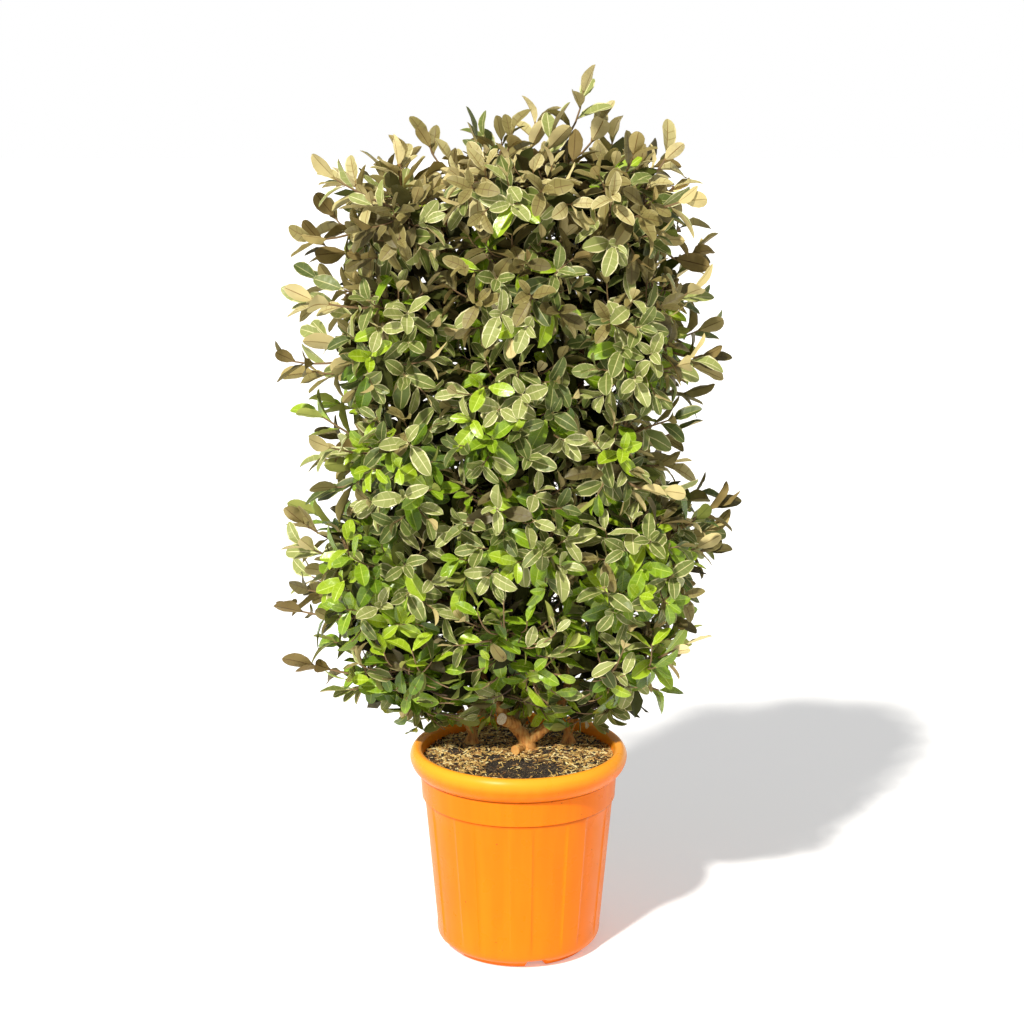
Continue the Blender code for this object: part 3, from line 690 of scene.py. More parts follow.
STEM_SIDE_LEFT = Limb("stem_side_left", (
    (-0.088, 0.062, GROUND), (-0.090, 0.060, GROUND + 0.030), (-0.135, 0.040, 0.460),
    (-0.185, 0.020, 0.495),
), SIDE_STEM_RADIUS, flared=True)

# Each column of foliage: its side, its inner and outer edge in x, its half depth, and its masses from
# the pot up as (name, lower end, upper end, outer reach)
COLUMNS = {
    "left": (-1, TRUNK_X, -0.448, 0.225, (
        ("skirt", 0.395, 0.600, -0.385),
        ("low", 0.600, 0.815, -0.412),
        ("waist", 0.815, 1.035, -0.372),
        ("high", 1.035, 1.255, -0.400),
        ("top", 1.255, 1.455, -0.362),
    )),
    "middle": (0, TRUNK_X, RIGHT_STEM_X, 0.245, (
        ("skirt", 0.395, 0.695, 0.0),
        ("low", 0.695, 0.920, 0.0),
        ("waist", 0.920, 1.140, 0.0),
        ("high", 1.140, 1.340, 0.0),
        ("top", 1.340, 1.510, 0.0),
    )),
    "right": (1, RIGHT_STEM_X, 0.412, 0.225, (
        ("skirt", 0.395, 0.630, 0.318),
        ("low", 0.630, 0.855, 0.352),
        ("waist", 0.855, 1.030, 0.275),
        ("high", 1.030, 1.270, 0.330),
        ("top", 1.270, 1.490, 0.300),
    )),
}


def place_boughs():
    """One bough for each outer mass above the skirts, from the stem beside it into the mass."""
    boughs = {}
    for side, parent in (("left", TRUNK), ("right", STEM_RIGHT)):
        sign, inner, outer, depth, masses = COLUMNS[side]
        for name, low, high, reach in masses[1:]:
            start, size = parent.at_height(low + BOUGH_START * (high - low))
            middle = (low + high) / 2
            tip_x = inner + sign * abs(reach - inner) / 2 * BOUGH_REACH
            tip = Vector((tip_x, 0.0, middle - 0.010))
            knots = (start, start.lerp(tip, 0.5) - Vector((0, 0, BOUGH_SAG)), tip)
            mass = side + "_" + name
            boughs[mass] = Limb("bough_" + mass, knots, min(BOUGH_RADIUS, size * 0.8))
    return boughs


BOUGHS = place_boughs()
LIMBS = [TRUNK, STEM_RIGHT, STEM_SIDE_RIGHT, STEM_SIDE_LEFT, *BOUGHS.values()]
print(len(LIMBS), "limbs, the longest with", max(len(limb.path) for limb in LIMBS), "points")


# %% Extrude a ring along a path
def frames_along(path):
    """A frame at each point of a path, turned from one to the next without twist."""
    frames = []
    side = Vector((1, 0, 0))
    for i, point in enumerate(path):
        tangent = (path[min(i + 1, len(path) - 1)] - path[max(i - 1, 0)]).normalized()
        side = (side - tangent * side.dot(tangent)).normalized()
        turn = Matrix((side, tangent.cross(side), tangent)).transposed()
        frames.append(Matrix.Translation(point) @ turn.to_4x4())
    return frames


def tube(path, radii, sides):
    """A closed tapering tube: a ring, extruded from each point of the path to the next, with caps."""
    places = [frame @ Matrix.Scale(size, 4) for frame, size in zip(frames_along(path), radii)]
    bm = bmesh.new()
    verts = bmesh.ops.create_circle(bm, cap_ends=False, segments=sides, radius=1.0)["verts"]
    edges = list(bm.edges)
    bmesh.ops.transform(bm, matrix=places[0], verts=verts)
    for before, after in zip(places, places[1:]):
        made = bmesh.ops.extrude_edge_only(bm, edges=edges)["geom"]
        verts = [item for item in made if isinstance(item, bmesh.types.BMVert)]
        edges = [item for item in made if isinstance(item, bmesh.types.BMEdge)]
        bmesh.ops.transform(bm, matrix=after @ before.inverted(), verts=verts)
    bmesh.ops.holes_fill(bm, edges=[edge for edge in bm.edges if edge.is_boundary], sides=sides)
    bmesh.ops.recalc_face_normals(bm, faces=bm.faces)
    return bm


# %% Raise the bark
FISSURE = 0.0007
LUMP = 0.0012
NODE_SPACING = 0.038
NODE_WIDTH = 0.003
NODE_RIDGE = 0.0007


def raise_bark(bm, limb, seed):
    """Moves each point of a limb in or out from its middle: fissures, lumps, and rings at old nodes."""
    stations = np.array([point[:] for point in limb.path])
    shift = Vector((seed * 3.7, seed * 1.3, 0.0))
    for vert in bm.verts:
        nearest = int(np.argmin(((stations - np.array(vert.co[:])) ** 2).sum(axis=1)))
        middle = limb.path[nearest]
        out = vert.co - middle
        size = limb.radii[nearest]
        if out.length < 0.3 * size:
            continue
        fissures = noise.noise(Vector((vert.co.x * 330, vert.co.y * 330, vert.co.z * 60)) + shift)
        lumps = noise.noise(vert.co * 75 + shift)
        from_node = (vert.co.z + 0.004 * lumps) % NODE_SPACING - NODE_SPACING / 2
        ring = math.exp(-(from_node / NODE_WIDTH) ** 2)
        share = min(1.0, size / TRUNK_RADIUS)
        moved = (FISSURE * fissures + LUMP * lumps + NODE_RIDGE * ring) * share
        vert.co += out.normalized() * moved


# %% [markdown]
# The bark is a warm orange-brown, paler on the ridges and dark in the fissures, with duller patches
# where it has weathered. Noise that is drawn out along the stem gives the fissures their colour, and
# a ramp over the height darkens the bark inside the crown, a painted shade where the crown shades it.

# %% The bark's finish
def bark_finish():
    """The bark: fissures and ridges, under weathered patches, with painted shade inside the crown."""
    made, shader, tree = new_finish("bark", tint(160, 104, 58), 0.8)
    fissures = noise_on(tree, 190.0, 5.0, (1, 1, 0.22))
    weather = noise_on(tree, 34.0, 3.0)
    color = ramp(tree, fissures, [
        (0.30, tint(160, 102, 54)), (0.46, tint(228, 162, 94)), (0.66, tint(248, 206, 136)),
    ])
    color = layered(tree, color, [(weather, [(0.52, 0.0), (0.68, 0.5)], tint(176, 142, 104))])
    # painted shade: the bark is multiplied darker above the crown's foot, inside the crown
    shaded = ramp(tree, height_on(tree), [(0.44, tint(224, 218, 186)), (0.56, tint(130, 122, 106))])
    color = mixed(tree, 1.0, color, shaded, "MULTIPLY")
    tree.links.new(color, shader.inputs["Base Color"])
    vary_roughness(tree, shader, fissures, 0.95, 0.66)
    bump(tree, shader, fissures, 0.0006)
    bump(tree, shader, noise_on(tree, 800.0, 3.0), 0.0002)
    return made


# %% Make the limbs
BARK = bark_finish()
for seed, limb in enumerate(LIMBS):
    sides = LIMB_SIDES if limb.radii[0] > BOUGH_RADIUS else BOUGH_SIDES
    foot = limb.path[0] - (limb.path[1] - limb.path[0]).normalized() * SUNK
    bm = tube([foot] + limb.path, [limb.radii[0]] + limb.radii, sides)
    raise_bark(bm, limb, seed)
    make_piece(mesh_of(limb.name + "_bark", bm), [BARK], "bark", [limb.name], 60)

# %% [markdown]
# Where a limb was pruned, a short stub is left. It is the same tube, a few rings long. The upper one
# was cut lately, so the face of its far cap takes a second finish, pale bare wood, while the lower
# one has bark all over.

# %% The pruned stubs
STUBS = (
    ("stub_high", ((-0.004, 0.026, 0.048), (-0.020, 0.010, 0.060), (-0.031, -0.003, 0.069)), 0.0108, 1),
    ("stub_low", ((0.010, 0.022, 0.006), (0.000, 0.006, 0.008), (-0.006, -0.004, 0.009)), 0.0088, 0),
)


def cut_wood_finish():
    """Pale bare wood with a fine grain."""
    made, shader, tree = new_finish("cut_wood", tint(246, 232, 200), 0.75)
    grain = noise_on(tree, 260.0, 4.0)
    color = ramp(tree, grain, [(0.35, tint(224, 200, 154)), (0.6, tint(252, 238, 206))])
    tree.links.new(color, shader.inputs["Base Color"])
    bump(tree, shader, grain, 0.0003)
    return made


CUT_WOOD = cut_wood_finish()
for name, knots, size, cut in STUBS:
    path = smooth_path([(x, y, GROUND + height) for x, y, height in knots], 4)
    bm = tube(path, [size * (1 + 0.06 * math.cos(3 * k)) for k in range(len(path))], LIMB_SIDES)
    for face in bm.faces:
        if len(face.verts) == LIMB_SIDES and (face.calc_center_median() - path[-1]).length < size / 2:
            face.material_index = cut
    make_piece(mesh_of(name, bm), [BARK, CUT_WOOD], "bark", (), 50)

# %% [markdown]
# The crown's spaces
# The crown is three columns of five masses. Each mass has a rounded box that its foliage reaches, and
# together the boxes give the crown's outline: a waist, a bulge below it, and a foot that narrows to
# the pot. A twig's tip belongs on the crown's skin, so tips are spread evenly over the boxes, and
# those that a neighbour's box would hide are left out. Long leaders that stand out of the outline
# are named one by one, as they make the plant's own silhouette.

# %% The masses' rounded boxes
REACH_POWER = 5
CROWN_MIDDLE = -0.01
CROWN_FOOT = 0.400
CROWN_TOP = 1.615
LOWEST = 0.392
LOWEST_INSIDE = 0.375
INSIDE_RADIUS = 0.158
FRONT_SLOPE = 1.0
BACK_SLOPE = 0.34
LEVEL_WIDTH = 0.20
LEVEL_DEPTH = 0.12
SIDE_RISE = 0.36
DEPTH_RISE = 0.8
FORK_X = -0.014
FORK_WIDTH = 0.042
FORK_BACK = 0.03
FORK_RISE = 0.030
EDGE_DEPTH = {
    "left": (0.078, 0.072, 0.098, 0.105, 0.085),
    "middle": (0.090, 0.090, 0.090, 0.090, 0.090),
    "right": (0.060, 0.052, 0.070, 0.062, 0.058),
}
TOP_DEPTH = 0.7
FOOT_TAPER = (0.43, 0.60)
TOP_TAPER = (1.54, 1.36)
DEPTH_WAVE = 0.16
ROUNDING = 0.30
HALF_WIDTH = 0.40


def crown_foot(x, y):
    """How low foliage may hang at a place: the crown's foot rises outwards, and over the stems' fork."""
    beyond = max(0.0, abs(x - CROWN_MIDDLE) - LEVEL_WIDTH)
    deep = max(0.0, abs(y) - LEVEL_DEPTH)
    over_fork = FORK_RISE * math.exp(-((x - FORK_X) / FORK_WIDTH) ** 4) if y < FORK_BACK else 0.0
    slope = BACK_SLOPE if y > 0 else FRONT_SLOPE
    lowest = LOWEST_INSIDE if math.hypot(x, y) < INSIDE_RADIUS else LOWEST
    return max(lowest, CROWN_FOOT - slope * y) + DEPTH_RISE * deep + SIDE_RISE * beyond + over_fork


def tapered(point):
    """A point of the boxes, moved in where the crown narrows to its foot and its top."""
    foot = smooth_step(*FOOT_TAPER, point.z)
    top = smooth_step(*TOP_TAPER, point.z)
    narrow = (0.66 + 0.34 * foot) * (0.66 + 0.34 * top)
    wave = noise.noise(Vector((point.x * 4, math.copysign(1, point.y), point.z * 5)))
    thin = (0.50 + 0.50 * foot) * (0.45 + 0.55 * top) * (1 - DEPTH_WAVE * max(0.0, 0.3 + wave))
    side = min(1.0, abs(point.x - CROWN_MIDDLE) / HALF_WIDTH)
    depth = point.y * thin * (1 - ROUNDING * side**3)
    return Vector((CROWN_MIDDLE + (point.x - CROWN_MIDDLE) * narrow, depth, point.z))


class Space:
    """The space of one mass: its rounded reach, and the tests that place foliage in it."""

    def __init__(self, column, index, is_body):
        sign, inner, outer, depth, masses = COLUMNS[column]
        tier, low, high, reach = masses[index]
        inset = EDGE_DEPTH[column][index] if is_body else 0.0
        near_x, far_x = sorted((inner, reach - sign * inset if sign else outer))
        self.name = column + "_" + tier
        self.column = column
        self.sign = sign
        self.is_top = index == len(masses) - 1
        top = high - TOP_DEPTH * inset if self.is_top else high
        self.middle = Vector(((near_x + far_x) / 2, 0.0, (low + top) / 2))
        self.reach = Vector(((far_x - near_x) / 2, depth, (top - low) / 2))

    def boundary(self, direction):
        """How far the rounded reach goes in a direction."""
        total = sum(abs(direction[k] / self.reach[k]) ** REACH_POWER for k in range(3))
        return total ** (-1 / REACH_POWER)

    def share(self, point):
        """How far out a point lies, as a share of the reach in its direction."""
        offset = point - self.middle
        return offset.length / self.boundary(offset.normalized()) if offset.length > 1e-6 else 0.0

    def outward(self, point):
        """The direction away from the mass's surface near a point."""
        steep = []
        for offset, reach in zip(point - self.middle, self.reach):
            steep.append(math.copysign(abs(offset / reach) ** (REACH_POWER - 1), offset) / reach)
        return Vector(steep).normalized()


BODY, REACH = [
    [Space(column, index, is_body) for column in COLUMNS for index in range(5)]
    for is_body in (True, False)
]
print(len(BODY), "masses")

# %% The long leaders, by the mass that they grow from
LEADERS = {
    "left_skirt": (
        (-0.425, -0.03, 0.555), (-0.365, -0.04, 0.500), (-0.146, -0.03, 0.435), (-0.140, 0.065, 0.402),
    ),
    "middle_skirt": (
        (-0.062, -0.03, 0.432), (-0.098, -0.05, 0.455), (0.080, -0.03, 0.434), (0.030, -0.01, 0.412),
        (-0.085, 0.105, 0.396), (0.000, 0.115, 0.396), (0.080, 0.110, 0.396),
    ),
    "left_low": ((-0.440, 0.02, 0.683), (-0.395, -0.06, 0.735)),
    "left_waist": ((-0.402, 0.03, 0.930), (-0.385, -0.05, 0.880), (-0.365, -0.02, 0.985)),
    "left_high": ((-0.420, -0.02, 1.215), (-0.418, 0.03, 1.085), (-0.355, -0.06, 1.250)),
    "left_top": (
        (-0.350, 0.02, 1.395), (-0.292, -0.01, 1.462), (-0.369, -0.03, 1.345), (-0.240, 0.05, 1.470),
        (-0.205, -0.04, 1.500),
    ),
    "middle_top": (
        (-0.168, 0.01, 1.530), (-0.120, -0.04, 1.490), (-0.078, 0.02, 1.530), (-0.030, -0.01, 1.535),
        (0.010, 0.05, 1.490), (0.116, 0.00, 1.614), (0.060, -0.03, 1.545), (0.152, 0.02, 1.575),
        (0.100, -0.05, 1.500),
    ),
    "right_skirt": ((0.312, -0.03, 0.480), (0.325, 0.04, 0.545), (0.140, 0.065, 0.402)),
    "right_low": (
        (0.404, -0.01, 0.862), (0.350, 0.05, 0.655), (0.372, -0.03, 0.775), (0.392, 0.03, 0.800),
    ),
    "right_waist": ((0.330, 0.02, 0.990), (0.312, -0.04, 0.925)),
    "right_high": ((0.362, 0.01, 1.090), (0.344, -0.03, 1.225), (0.350, 0.03, 1.030)),
    "right_top": (
        (0.272, 0.00, 1.508), (0.300, 0.02, 1.450), (0.205, -0.04, 1.480), (0.310, -0.04, 1.380),
        (0.238, 0.04, 1.455), (0.345, 0.01, 1.330),
    ),
}


# %% Spread the tips over the crown's skin
TIP_SPACING = 0.048
EDGE_SPACING = 0.115
SECOND_SPACING = 0.064
INNER_SPACING = 0.058
INNER_LENGTH = 0.085
INNER_SHARES = (0.74, 0.48, 0.22)
SKIN_CANDIDATES = 1600
SKIN_LUMP = 0.08
SKIN_OVER_FOOT = 0.008
EDGE_SHARE = 0.97
EDGE_LENGTH = (0.82, 1.0)
NEIGHBOUR_SLACK = 1.13
LEAF_TURN = math.radians(137.5)


def ball_directions(count, rng):
    """Directions spread evenly over a ball, with a little seeded disorder."""
    start = rng.random()
    for i in range(count):
        height = 1 - 2 * (i + 0.5) / count
        turn = LEAF_TURN * i + 2 * math.pi * start
        level = math.sqrt(1 - height * height)
        jitter = Vector([rng.uniform(-0.06, 0.06) for _ in range(3)])
        yield Vector((level * math.cos(turn), level * math.sin(turn), height)) + jitter


def cells_near(point, size):
    """The cell of a cubic grid that a point lies in, and a list of that cell and the 26 round it."""
    cell = tuple(math.floor(part / size) for part in point)
    return cell, list(product(*((part - 1, part, part + 1) for part in cell)))


class Thinner:
    """Keeps points apart: it takes a point only if no point that it took is nearer than a spacing."""

    def __init__(self, spacing):
        self.spacing = spacing
        self.cells = {}

    def takes(self, point):
        """Whether there is room for the point, which is kept if there is."""
        cell, around = cells_near(point, self.spacing)
        near = [other for key in around for other in self.cells.get(key, ())]
        if any((point - other).length < self.spacing for other in near):
            return False
        self.cells.setdefault(cell, []).append(point)
        return True

    def keep(self, points):
        """Those of the points that it takes."""
        return [point for point in points if self.takes(point)]


def skin_points(space, neighbours, share, rng):
    """Points on a mass's reach, or a share of it in, that no neighbour hides."""
    for ball in ball_directions(SKIN_CANDIDATES, rng):
        direction = Vector([ball[k] * space.reach[k] for k in range(3)]).normalized()
        edge = space.middle + direction * space.boundary(direction)
        if any(other.name != space.name and other.share(edge) < NEIGHBOUR_SLACK for other in neighbours):
            continue
        lump = 1 + SKIN_LUMP * noise.noise(edge * 9)
        point = tapered(space.middle + direction * space.boundary(direction) * share * lump)
        point.z = max(point.z, crown_foot(point.x, point.y) + SKIN_OVER_FOOT)
        yield point


def edge_points(space, rng):
    """Tips of the loose shoots that stand out of a mass at the crown's sides and top."""
    for point in skin_points(space, REACH, EDGE_SHARE, rng):
        out = space.outward(point)
        if out.x * space.sign > 0.5 or (space.is_top and out.z > 0.6):
            yield space.middle.lerp(point, rng.uniform(*EDGE_LENGTH))


# %% [markdown]
# Twigs
# From each bough's tip a stem runs to the middle of its mass. A few arms leave it there towards the
# skin, and every tip is reached by a twig that leaves the nearest arm and bends upwards as it goes,
# the way shoots turn to the light. All twigs have the same number of points, so one array holds them
# all and their round sides are worked out together.

# %% Grow the twigs of a mass
TWIG_POINTS = 8
ARM_SPACING = 0.15
ARM_SHARE = 0.62
ARM_RADIUS = (0.0042, 0.0026)
TWIG_RADIUS = (0.0019, 0.0010)
LEADER_RADIUS = (0.0030, 0.0014)
ARM_SAG = 0.02
CONTROL_SHARE = 0.55
RISE = 0.55
RISE_FROM = (0.45, 0.65)
TOP_RISE = 5.0
WANDER = {"leader": 0.10, "edge": 0.18}
LOOSE_WANDER = 0.30
LAST_LEAF = 0.058
SKIN_SHARE = 0.90
SECOND_SHARE = 0.76

# A twig's points, its radii at both ends, its kind, and the space that it grows in
Twig = namedtuple("Twig", "points radii kind space")


def disorder(rng, spread):
    """A small random vector."""
    return Vector([rng.gauss(0, spread) for _ in range(3)])


def bent(start, control, end, count=TWIG_POINTS):
    """Points on a curve that leaves its start towards the control point and arrives from it."""
    shares = [k / (count - 1) for k in range(count)]
    return [start * (1 - t) ** 2 + control * (2 * t * (1 - t)) + end * t**2 for t in shares]


def joint_of(space):
    """Where a mass's stem leaves its bough or stem, as in the solids."""
    if space.column == "middle":
        index = [name for name, *_ in COLUMNS["middle"][4]].index(space.name.split("_")[1])
        limb = TRUNK if index % 2 else STEM_RIGHT
        return limb.at_height(space.middle.z - 0.3 * space.reach.z)[0]
    side_stem = STEM_SIDE_LEFT if space.column == "left" else STEM_SIDE_RIGHT
    return BOUGHS.get(space.name, side_stem).path[-1]


def grow_mass(space, tips):
    """All the twigs of one mass, from its stem to its tips."""
    rng = random.Random("elaeagnus " + space.name)
    joint = joint_of(space)
    arms = [bent(joint, joint.lerp(space.middle, 0.5), space.middle)]
    for end in Thinner(ARM_SPACING).keep(tips["leader"] + tips["edge"] + tips["shoot"]):
        reach = space.middle.lerp(end, ARM_SHARE / max(1.0, space.share(end)))
        control = space.middle.lerp(reach, 0.5) - Vector((0, 0, ARM_SAG))
        arms.append(bent(space.middle, control, reach))
    twigs = [Twig(arm, ARM_RADIUS, "arm", space) for arm in arms]
    places = [point for arm in arms[1:] for point in arm[3:]]
    for kind, ends in tips.items():
        for tip in ends:
            far = [place for place in places if kind != "inner" or (place - tip).length > INNER_LENGTH]
            start = min(far or places, key=lambda place: (place - tip).length + 0.3 * abs(place.z - tip.z))
            wander = disorder(rng, WANDER.get(kind, LOOSE_WANDER))
            rise = Vector((0, 0, RISE * smooth_step(*RISE_FROM, tip.z)))
            if kind == "leader" and space.is_top:
                rise *= TOP_RISE
            heading = (space.outward(tip) + (tip - start).normalized() + rise + wander).normalized()
            if kind == "leader":
                tip = tip - heading * LAST_LEAF
            control = tip - heading * (tip - start).length * CONTROL_SHARE
            radii = LEADER_RADIUS if kind in ("leader", "edge") else TWIG_RADIUS
            twigs.append(Twig(bent(start, control, tip), radii, kind, space))
    return twigs


# %% Grow every mass
def grow_crown():
    """The twigs of the whole crown."""
    rng = random.Random("skin")
    edge, skin, second = Thinner(EDGE_SPACING), Thinner(TIP_SPACING), Thinner(SECOND_SPACING)
    inner = [Thinner(INNER_SPACING) for _ in INNER_SHARES]
    twigs = []
    for space, reach in zip(BODY, REACH):
        tips = {"leader": [Vector(tip) for tip in LEADERS.get(space.name, ())]}
        edge.keep(tips["leader"])
        tips["edge"] = edge.keep(edge_points(reach, rng))
        tips["shoot"] = skin.keep(skin_points(space, BODY, SKIN_SHARE, rng))
        tips["second"] = second.keep(skin_points(space, BODY, SECOND_SHARE, rng))
        tips["inner"] = []
        for share, thinner in zip(INNER_SHARES, inner):
            tips["inner"] += thinner.keep(skin_points(space, (), share, rng))
        twigs += grow_mass(space, tips)
    return twigs


TWIGS = grow_crown()
for kind in ("arm", "leader", "edge", "shoot", "second", "inner"):
    print(sum(twig.kind == kind for twig in TWIGS), kind, "twigs")

# %% Round the twigs
TWIG_SIDES = 5


def twig_mesh(name, twigs):
    """One mesh for many twigs: rings round every point, joined by faces, with caps at both ends."""
    path = np.array([[point[:] for point in twig.points] for twig in twigs])
    ends = np.array([twig.radii for twig in twigs])
    along = np.gradient(path, axis=1)
    along /= np.linalg.norm(along, axis=2, keepdims=True)
    side = np.cross(along, np.array((0.31, 0.17, 0.94)))
    side /= np.linalg.norm(side, axis=2, keepdims=True)
    other = np.cross(along, side)
    share = np.linspace(0, 1, TWIG_POINTS)
    radii = ends[:, :1] + (ends[:, 1:] - ends[:, :1]) * share
    turns = np.arange(TWIG_SIDES) * 2 * math.pi / TWIG_SIDES
    spokes = side[:, :, None] * np.cos(turns)[:, None] + other[:, :, None] * np.sin(turns)[:, None]
    rings = path[:, :, None] + spokes * radii[:, :, None, None]
    corners = []
    for i in range(TWIG_POINTS - 1):
        for k in range(TWIG_SIDES):
            a, b = i * TWIG_SIDES + k, i * TWIG_SIDES + (k + 1) % TWIG_SIDES
            corners += [(a, b, b + TWIG_SIDES), (a, b + TWIG_SIDES, a + TWIG_SIDES)]
    last = (TWIG_POINTS - 1) * TWIG_SIDES
    for k in range(1, TWIG_SIDES - 1):
        corners += [(0, k + 1, k), (last, last + k, last + k + 1)]
    faces = repeated(np.array(corners), len(twigs), TWIG_POINTS * TWIG_SIDES)
    finishes = np.array([0 if twig.kind in ("arm", "inner") else 1 for twig in twigs])
    return mesh_from_arrays(name, rings.reshape(-1, 3), faces, np.repeat(finishes, len(corners)))


# %% [markdown]
# Old twigs are dark brown and the year's shoots a lighter brown, so two plain colours are dealt out by
# age, and fine noise roughens both.

# %% Make the twigs
OLD_TWIG = grainy_finish("twig_old", (78, 58, 40), 0.6, 600.0, 0.5, 0.8)
YOUNG_TWIG = grainy_finish("twig_young", (128, 102, 68), 0.6, 600.0, 0.5, 0.8)
for column in COLUMNS:
    mesh = twig_mesh("twigs_" + column, [twig for twig in TWIGS if twig.space.column == column])
    make_piece(mesh, [OLD_TWIG, YOUNG_TWIG], "bark", (), 60)

# %% [markdown]
# One leaf
# An elaeagnus leaf is an ellipse on a short stalk, with a blunt tip, a fold along its midrib, a pale
# wavy margin, and a matt underside. A leaf that is copied thousands of times can't have many faces, so
# each has to tell: the top is a grid of five strips, margin, blade, midrib, blade, margin, and the
# underside three strips that meet it along the edge, which closes the leaf. A dozen templates with
# their own fold, droop and wave keep the crown from looking stamped.

# %% The leaf's outline
LEAF_LENGTH = 0.061
LEAF_WIDTH = 0.0300
LEAF_THICKNESS = 0.0008
STALK = 0.10
STALK_HALF_WIDTH = 0.0007
LEAF_ROWS = (0.0, 0.10, 0.21, 0.24, 0.40, 0.43, 0.60, 0.63, 0.80, 0.93, 1.0)
SIMPLE_ROWS = (0.0, 0.10, 0.24, 0.50, 0.78, 0.93, 1.0)
PLAIN_ROWS = (0.0, 0.16, 0.40, 0.72, 1.0)
COARSE_ROWS = (0.14, 0.40, 0.72, 0.98)
MARGIN_START = 0.77
TOP_COLUMNS = (-1.0, -MARGIN_START, -0.06, 0.06, MARGIN_START, 1.0)
UNDER_COLUMNS = (-1.0, -0.06, 0.06, 1.0)
PLAIN_COLUMNS = (-1.0, 0.0, 1.0)
VEIN_WIDTH = 0.04
VEIN_SWEEP = 0.11
MERGE = 0.0002
ROLE_NAMES = ("rib", "blade", "vein", "margin", "under", "under_rib")
RIB, BLADE, VEIN, MARGIN, UNDER, UNDER_RIB = range(len(ROLE_NAMES))


def half_width(share):
    """The leaf's half width at a share of its length."""
    if share <= STALK:
        return STALK_HALF_WIDTH
    blade = (share - STALK) / (1 - STALK)
    return max(STALK_HALF_WIDTH, LEAF_WIDTH / 2 * math.sin(math.pi * blade**1.06) ** 0.52)


class LeafShape:
    """How one template is folded, bent, waved and twisted."""

    def __init__(self, rng):
        self.fold = math.radians(rng.uniform(6, 34))
        self.droop = rng.uniform(-0.10, 0.75)
        self.wave = rng.uniform(0.03, 0.13)
        self.phase = rng.uniform(0, 2 * math.pi)
        self.twist = rng.uniform(-0.45, 0.45)
        self.bulge = rng.uniform(0.03, 0.09)
        self.ragged = [rng.uniform(-0.24, 0.06) for _ in range(2 * len(LEAF_ROWS))]

    def place(self, across, share, below):
        """A point of the leaf: across from -1 to 1, a share of the length, and how far below the top."""
        side = abs(across)
        share += VEIN_SWEEP * side * math.sin(math.pi * share)
        half = half_width(share)
        height = half * side * math.sin(self.fold)
        height += half * self.bulge * math.sin(math.pi * min(1.0, side))
        height += half * side * self.wave * math.sin(11 * share + self.phase + (2 if across > 0 else 0))
        height -= below * LEAF_THICKNESS * (1 - side)
        flat = across * half * math.cos(self.fold)
        turn = self.twist * share
        x = flat * math.cos(turn) - height * math.sin(turn)
        y = LEAF_LENGTH * (share - self.droop**2 * share**3 / 6)
        height = flat * math.sin(turn) + height * math.cos(turn)
        return Vector((x, y, height - self.droop * LEAF_LENGTH * share**2 / 2))


# %% Shape the templates
def leaf_half(bm, columns, rows, shape, below):
    """One side of a leaf: a grid whose points are moved to their places."""
    across, along = len(columns) - 1, len(rows) - 1
    verts = bmesh.ops.create_grid(bm, x_segments=across, y_segments=along, size=1.0)["verts"]
    faces = list({face for vert in verts for face in vert.link_faces})
    for face in faces:
        middle = face.calc_center_median()
        strip = min(across - 1, int((middle.x + 1) / 2 * across))
        row = min(along - 1, int((middle.y + 1) / 2 * along))
        rib = columns[strip] < 0 < columns[strip + 1]
        if below:
            face.material_index = UNDER_RIB if rib or row == 0 else UNDER
        elif rib or row == 0:
            face.material_index = RIB
        elif min(abs(columns[strip]), abs(columns[strip + 1])) == MARGIN_START:
            face.material_index = MARGIN
        else:
            face.material_index = VEIN if rows[row + 1] - rows[row] < VEIN_WIDTH else BLADE
    for vert in verts:
        column = round((vert.co.x + 1) / 2 * across)
        row = round((vert.co.y + 1) / 2 * along)
        position = columns[column]
        if not below and abs(position) == MARGIN_START:
            position += math.copysign(shape.ragged[2 * row + (position > 0)], position)
        vert.co = shape.place(position, rows[row], below)
    if below:
        bmesh.ops.reverse_faces(bm, faces=faces)


def leaf_template(shape, rows, top=TOP_COLUMNS, under=UNDER_COLUMNS):
    """The arrays of one closed leaf, with points at those rows along it and columns across it."""
    bm = bmesh.new()
    leaf_half(bm, top, rows, shape, 0.0)
    leaf_half(bm, under, rows, shape, 1.0)
    bmesh.ops.remove_doubles(bm, verts=bm.verts, dist=MERGE)
    return template_arrays(bm)


def coarse_leaf(shape):
    """A leaf's blade as a few points and faces, for the test that two leaves don't cross."""
    points = [shape.place(across, row, 0.0) for row in COARSE_ROWS for across in PLAIN_COLUMNS]
    firsts = [3 * row + column for row in range(len(COARSE_ROWS) - 1) for column in (0, 1)]
    return np.array([point[:] for point in points]), [(i, i + 1, i + 4, i + 3) for i in firsts]


TEMPLATE_COUNT = 12
template_rng = random.Random("templates")
LEAF_SHAPES = [LeafShape(template_rng) for _ in range(TEMPLATE_COUNT)]
COARSE = [coarse_leaf(shape) for shape in LEAF_SHAPES]
TEMPLATES = [leaf_template(shape, rows) for rows in (LEAF_ROWS, SIMPLE_ROWS) for shape in LEAF_SHAPES]
PLAIN_TEMPLATES = [
    leaf_template(shape, PLAIN_ROWS, PLAIN_COLUMNS, PLAIN_COLUMNS) for shape in LEAF_SHAPES
]
print("a leaf has", len(TEMPLATES[0][1]), "triangles, an older one", len(TEMPLATES[-1][1]))
print("a leaf in the shade has", len(PLAIN_TEMPLATES[0][1]))
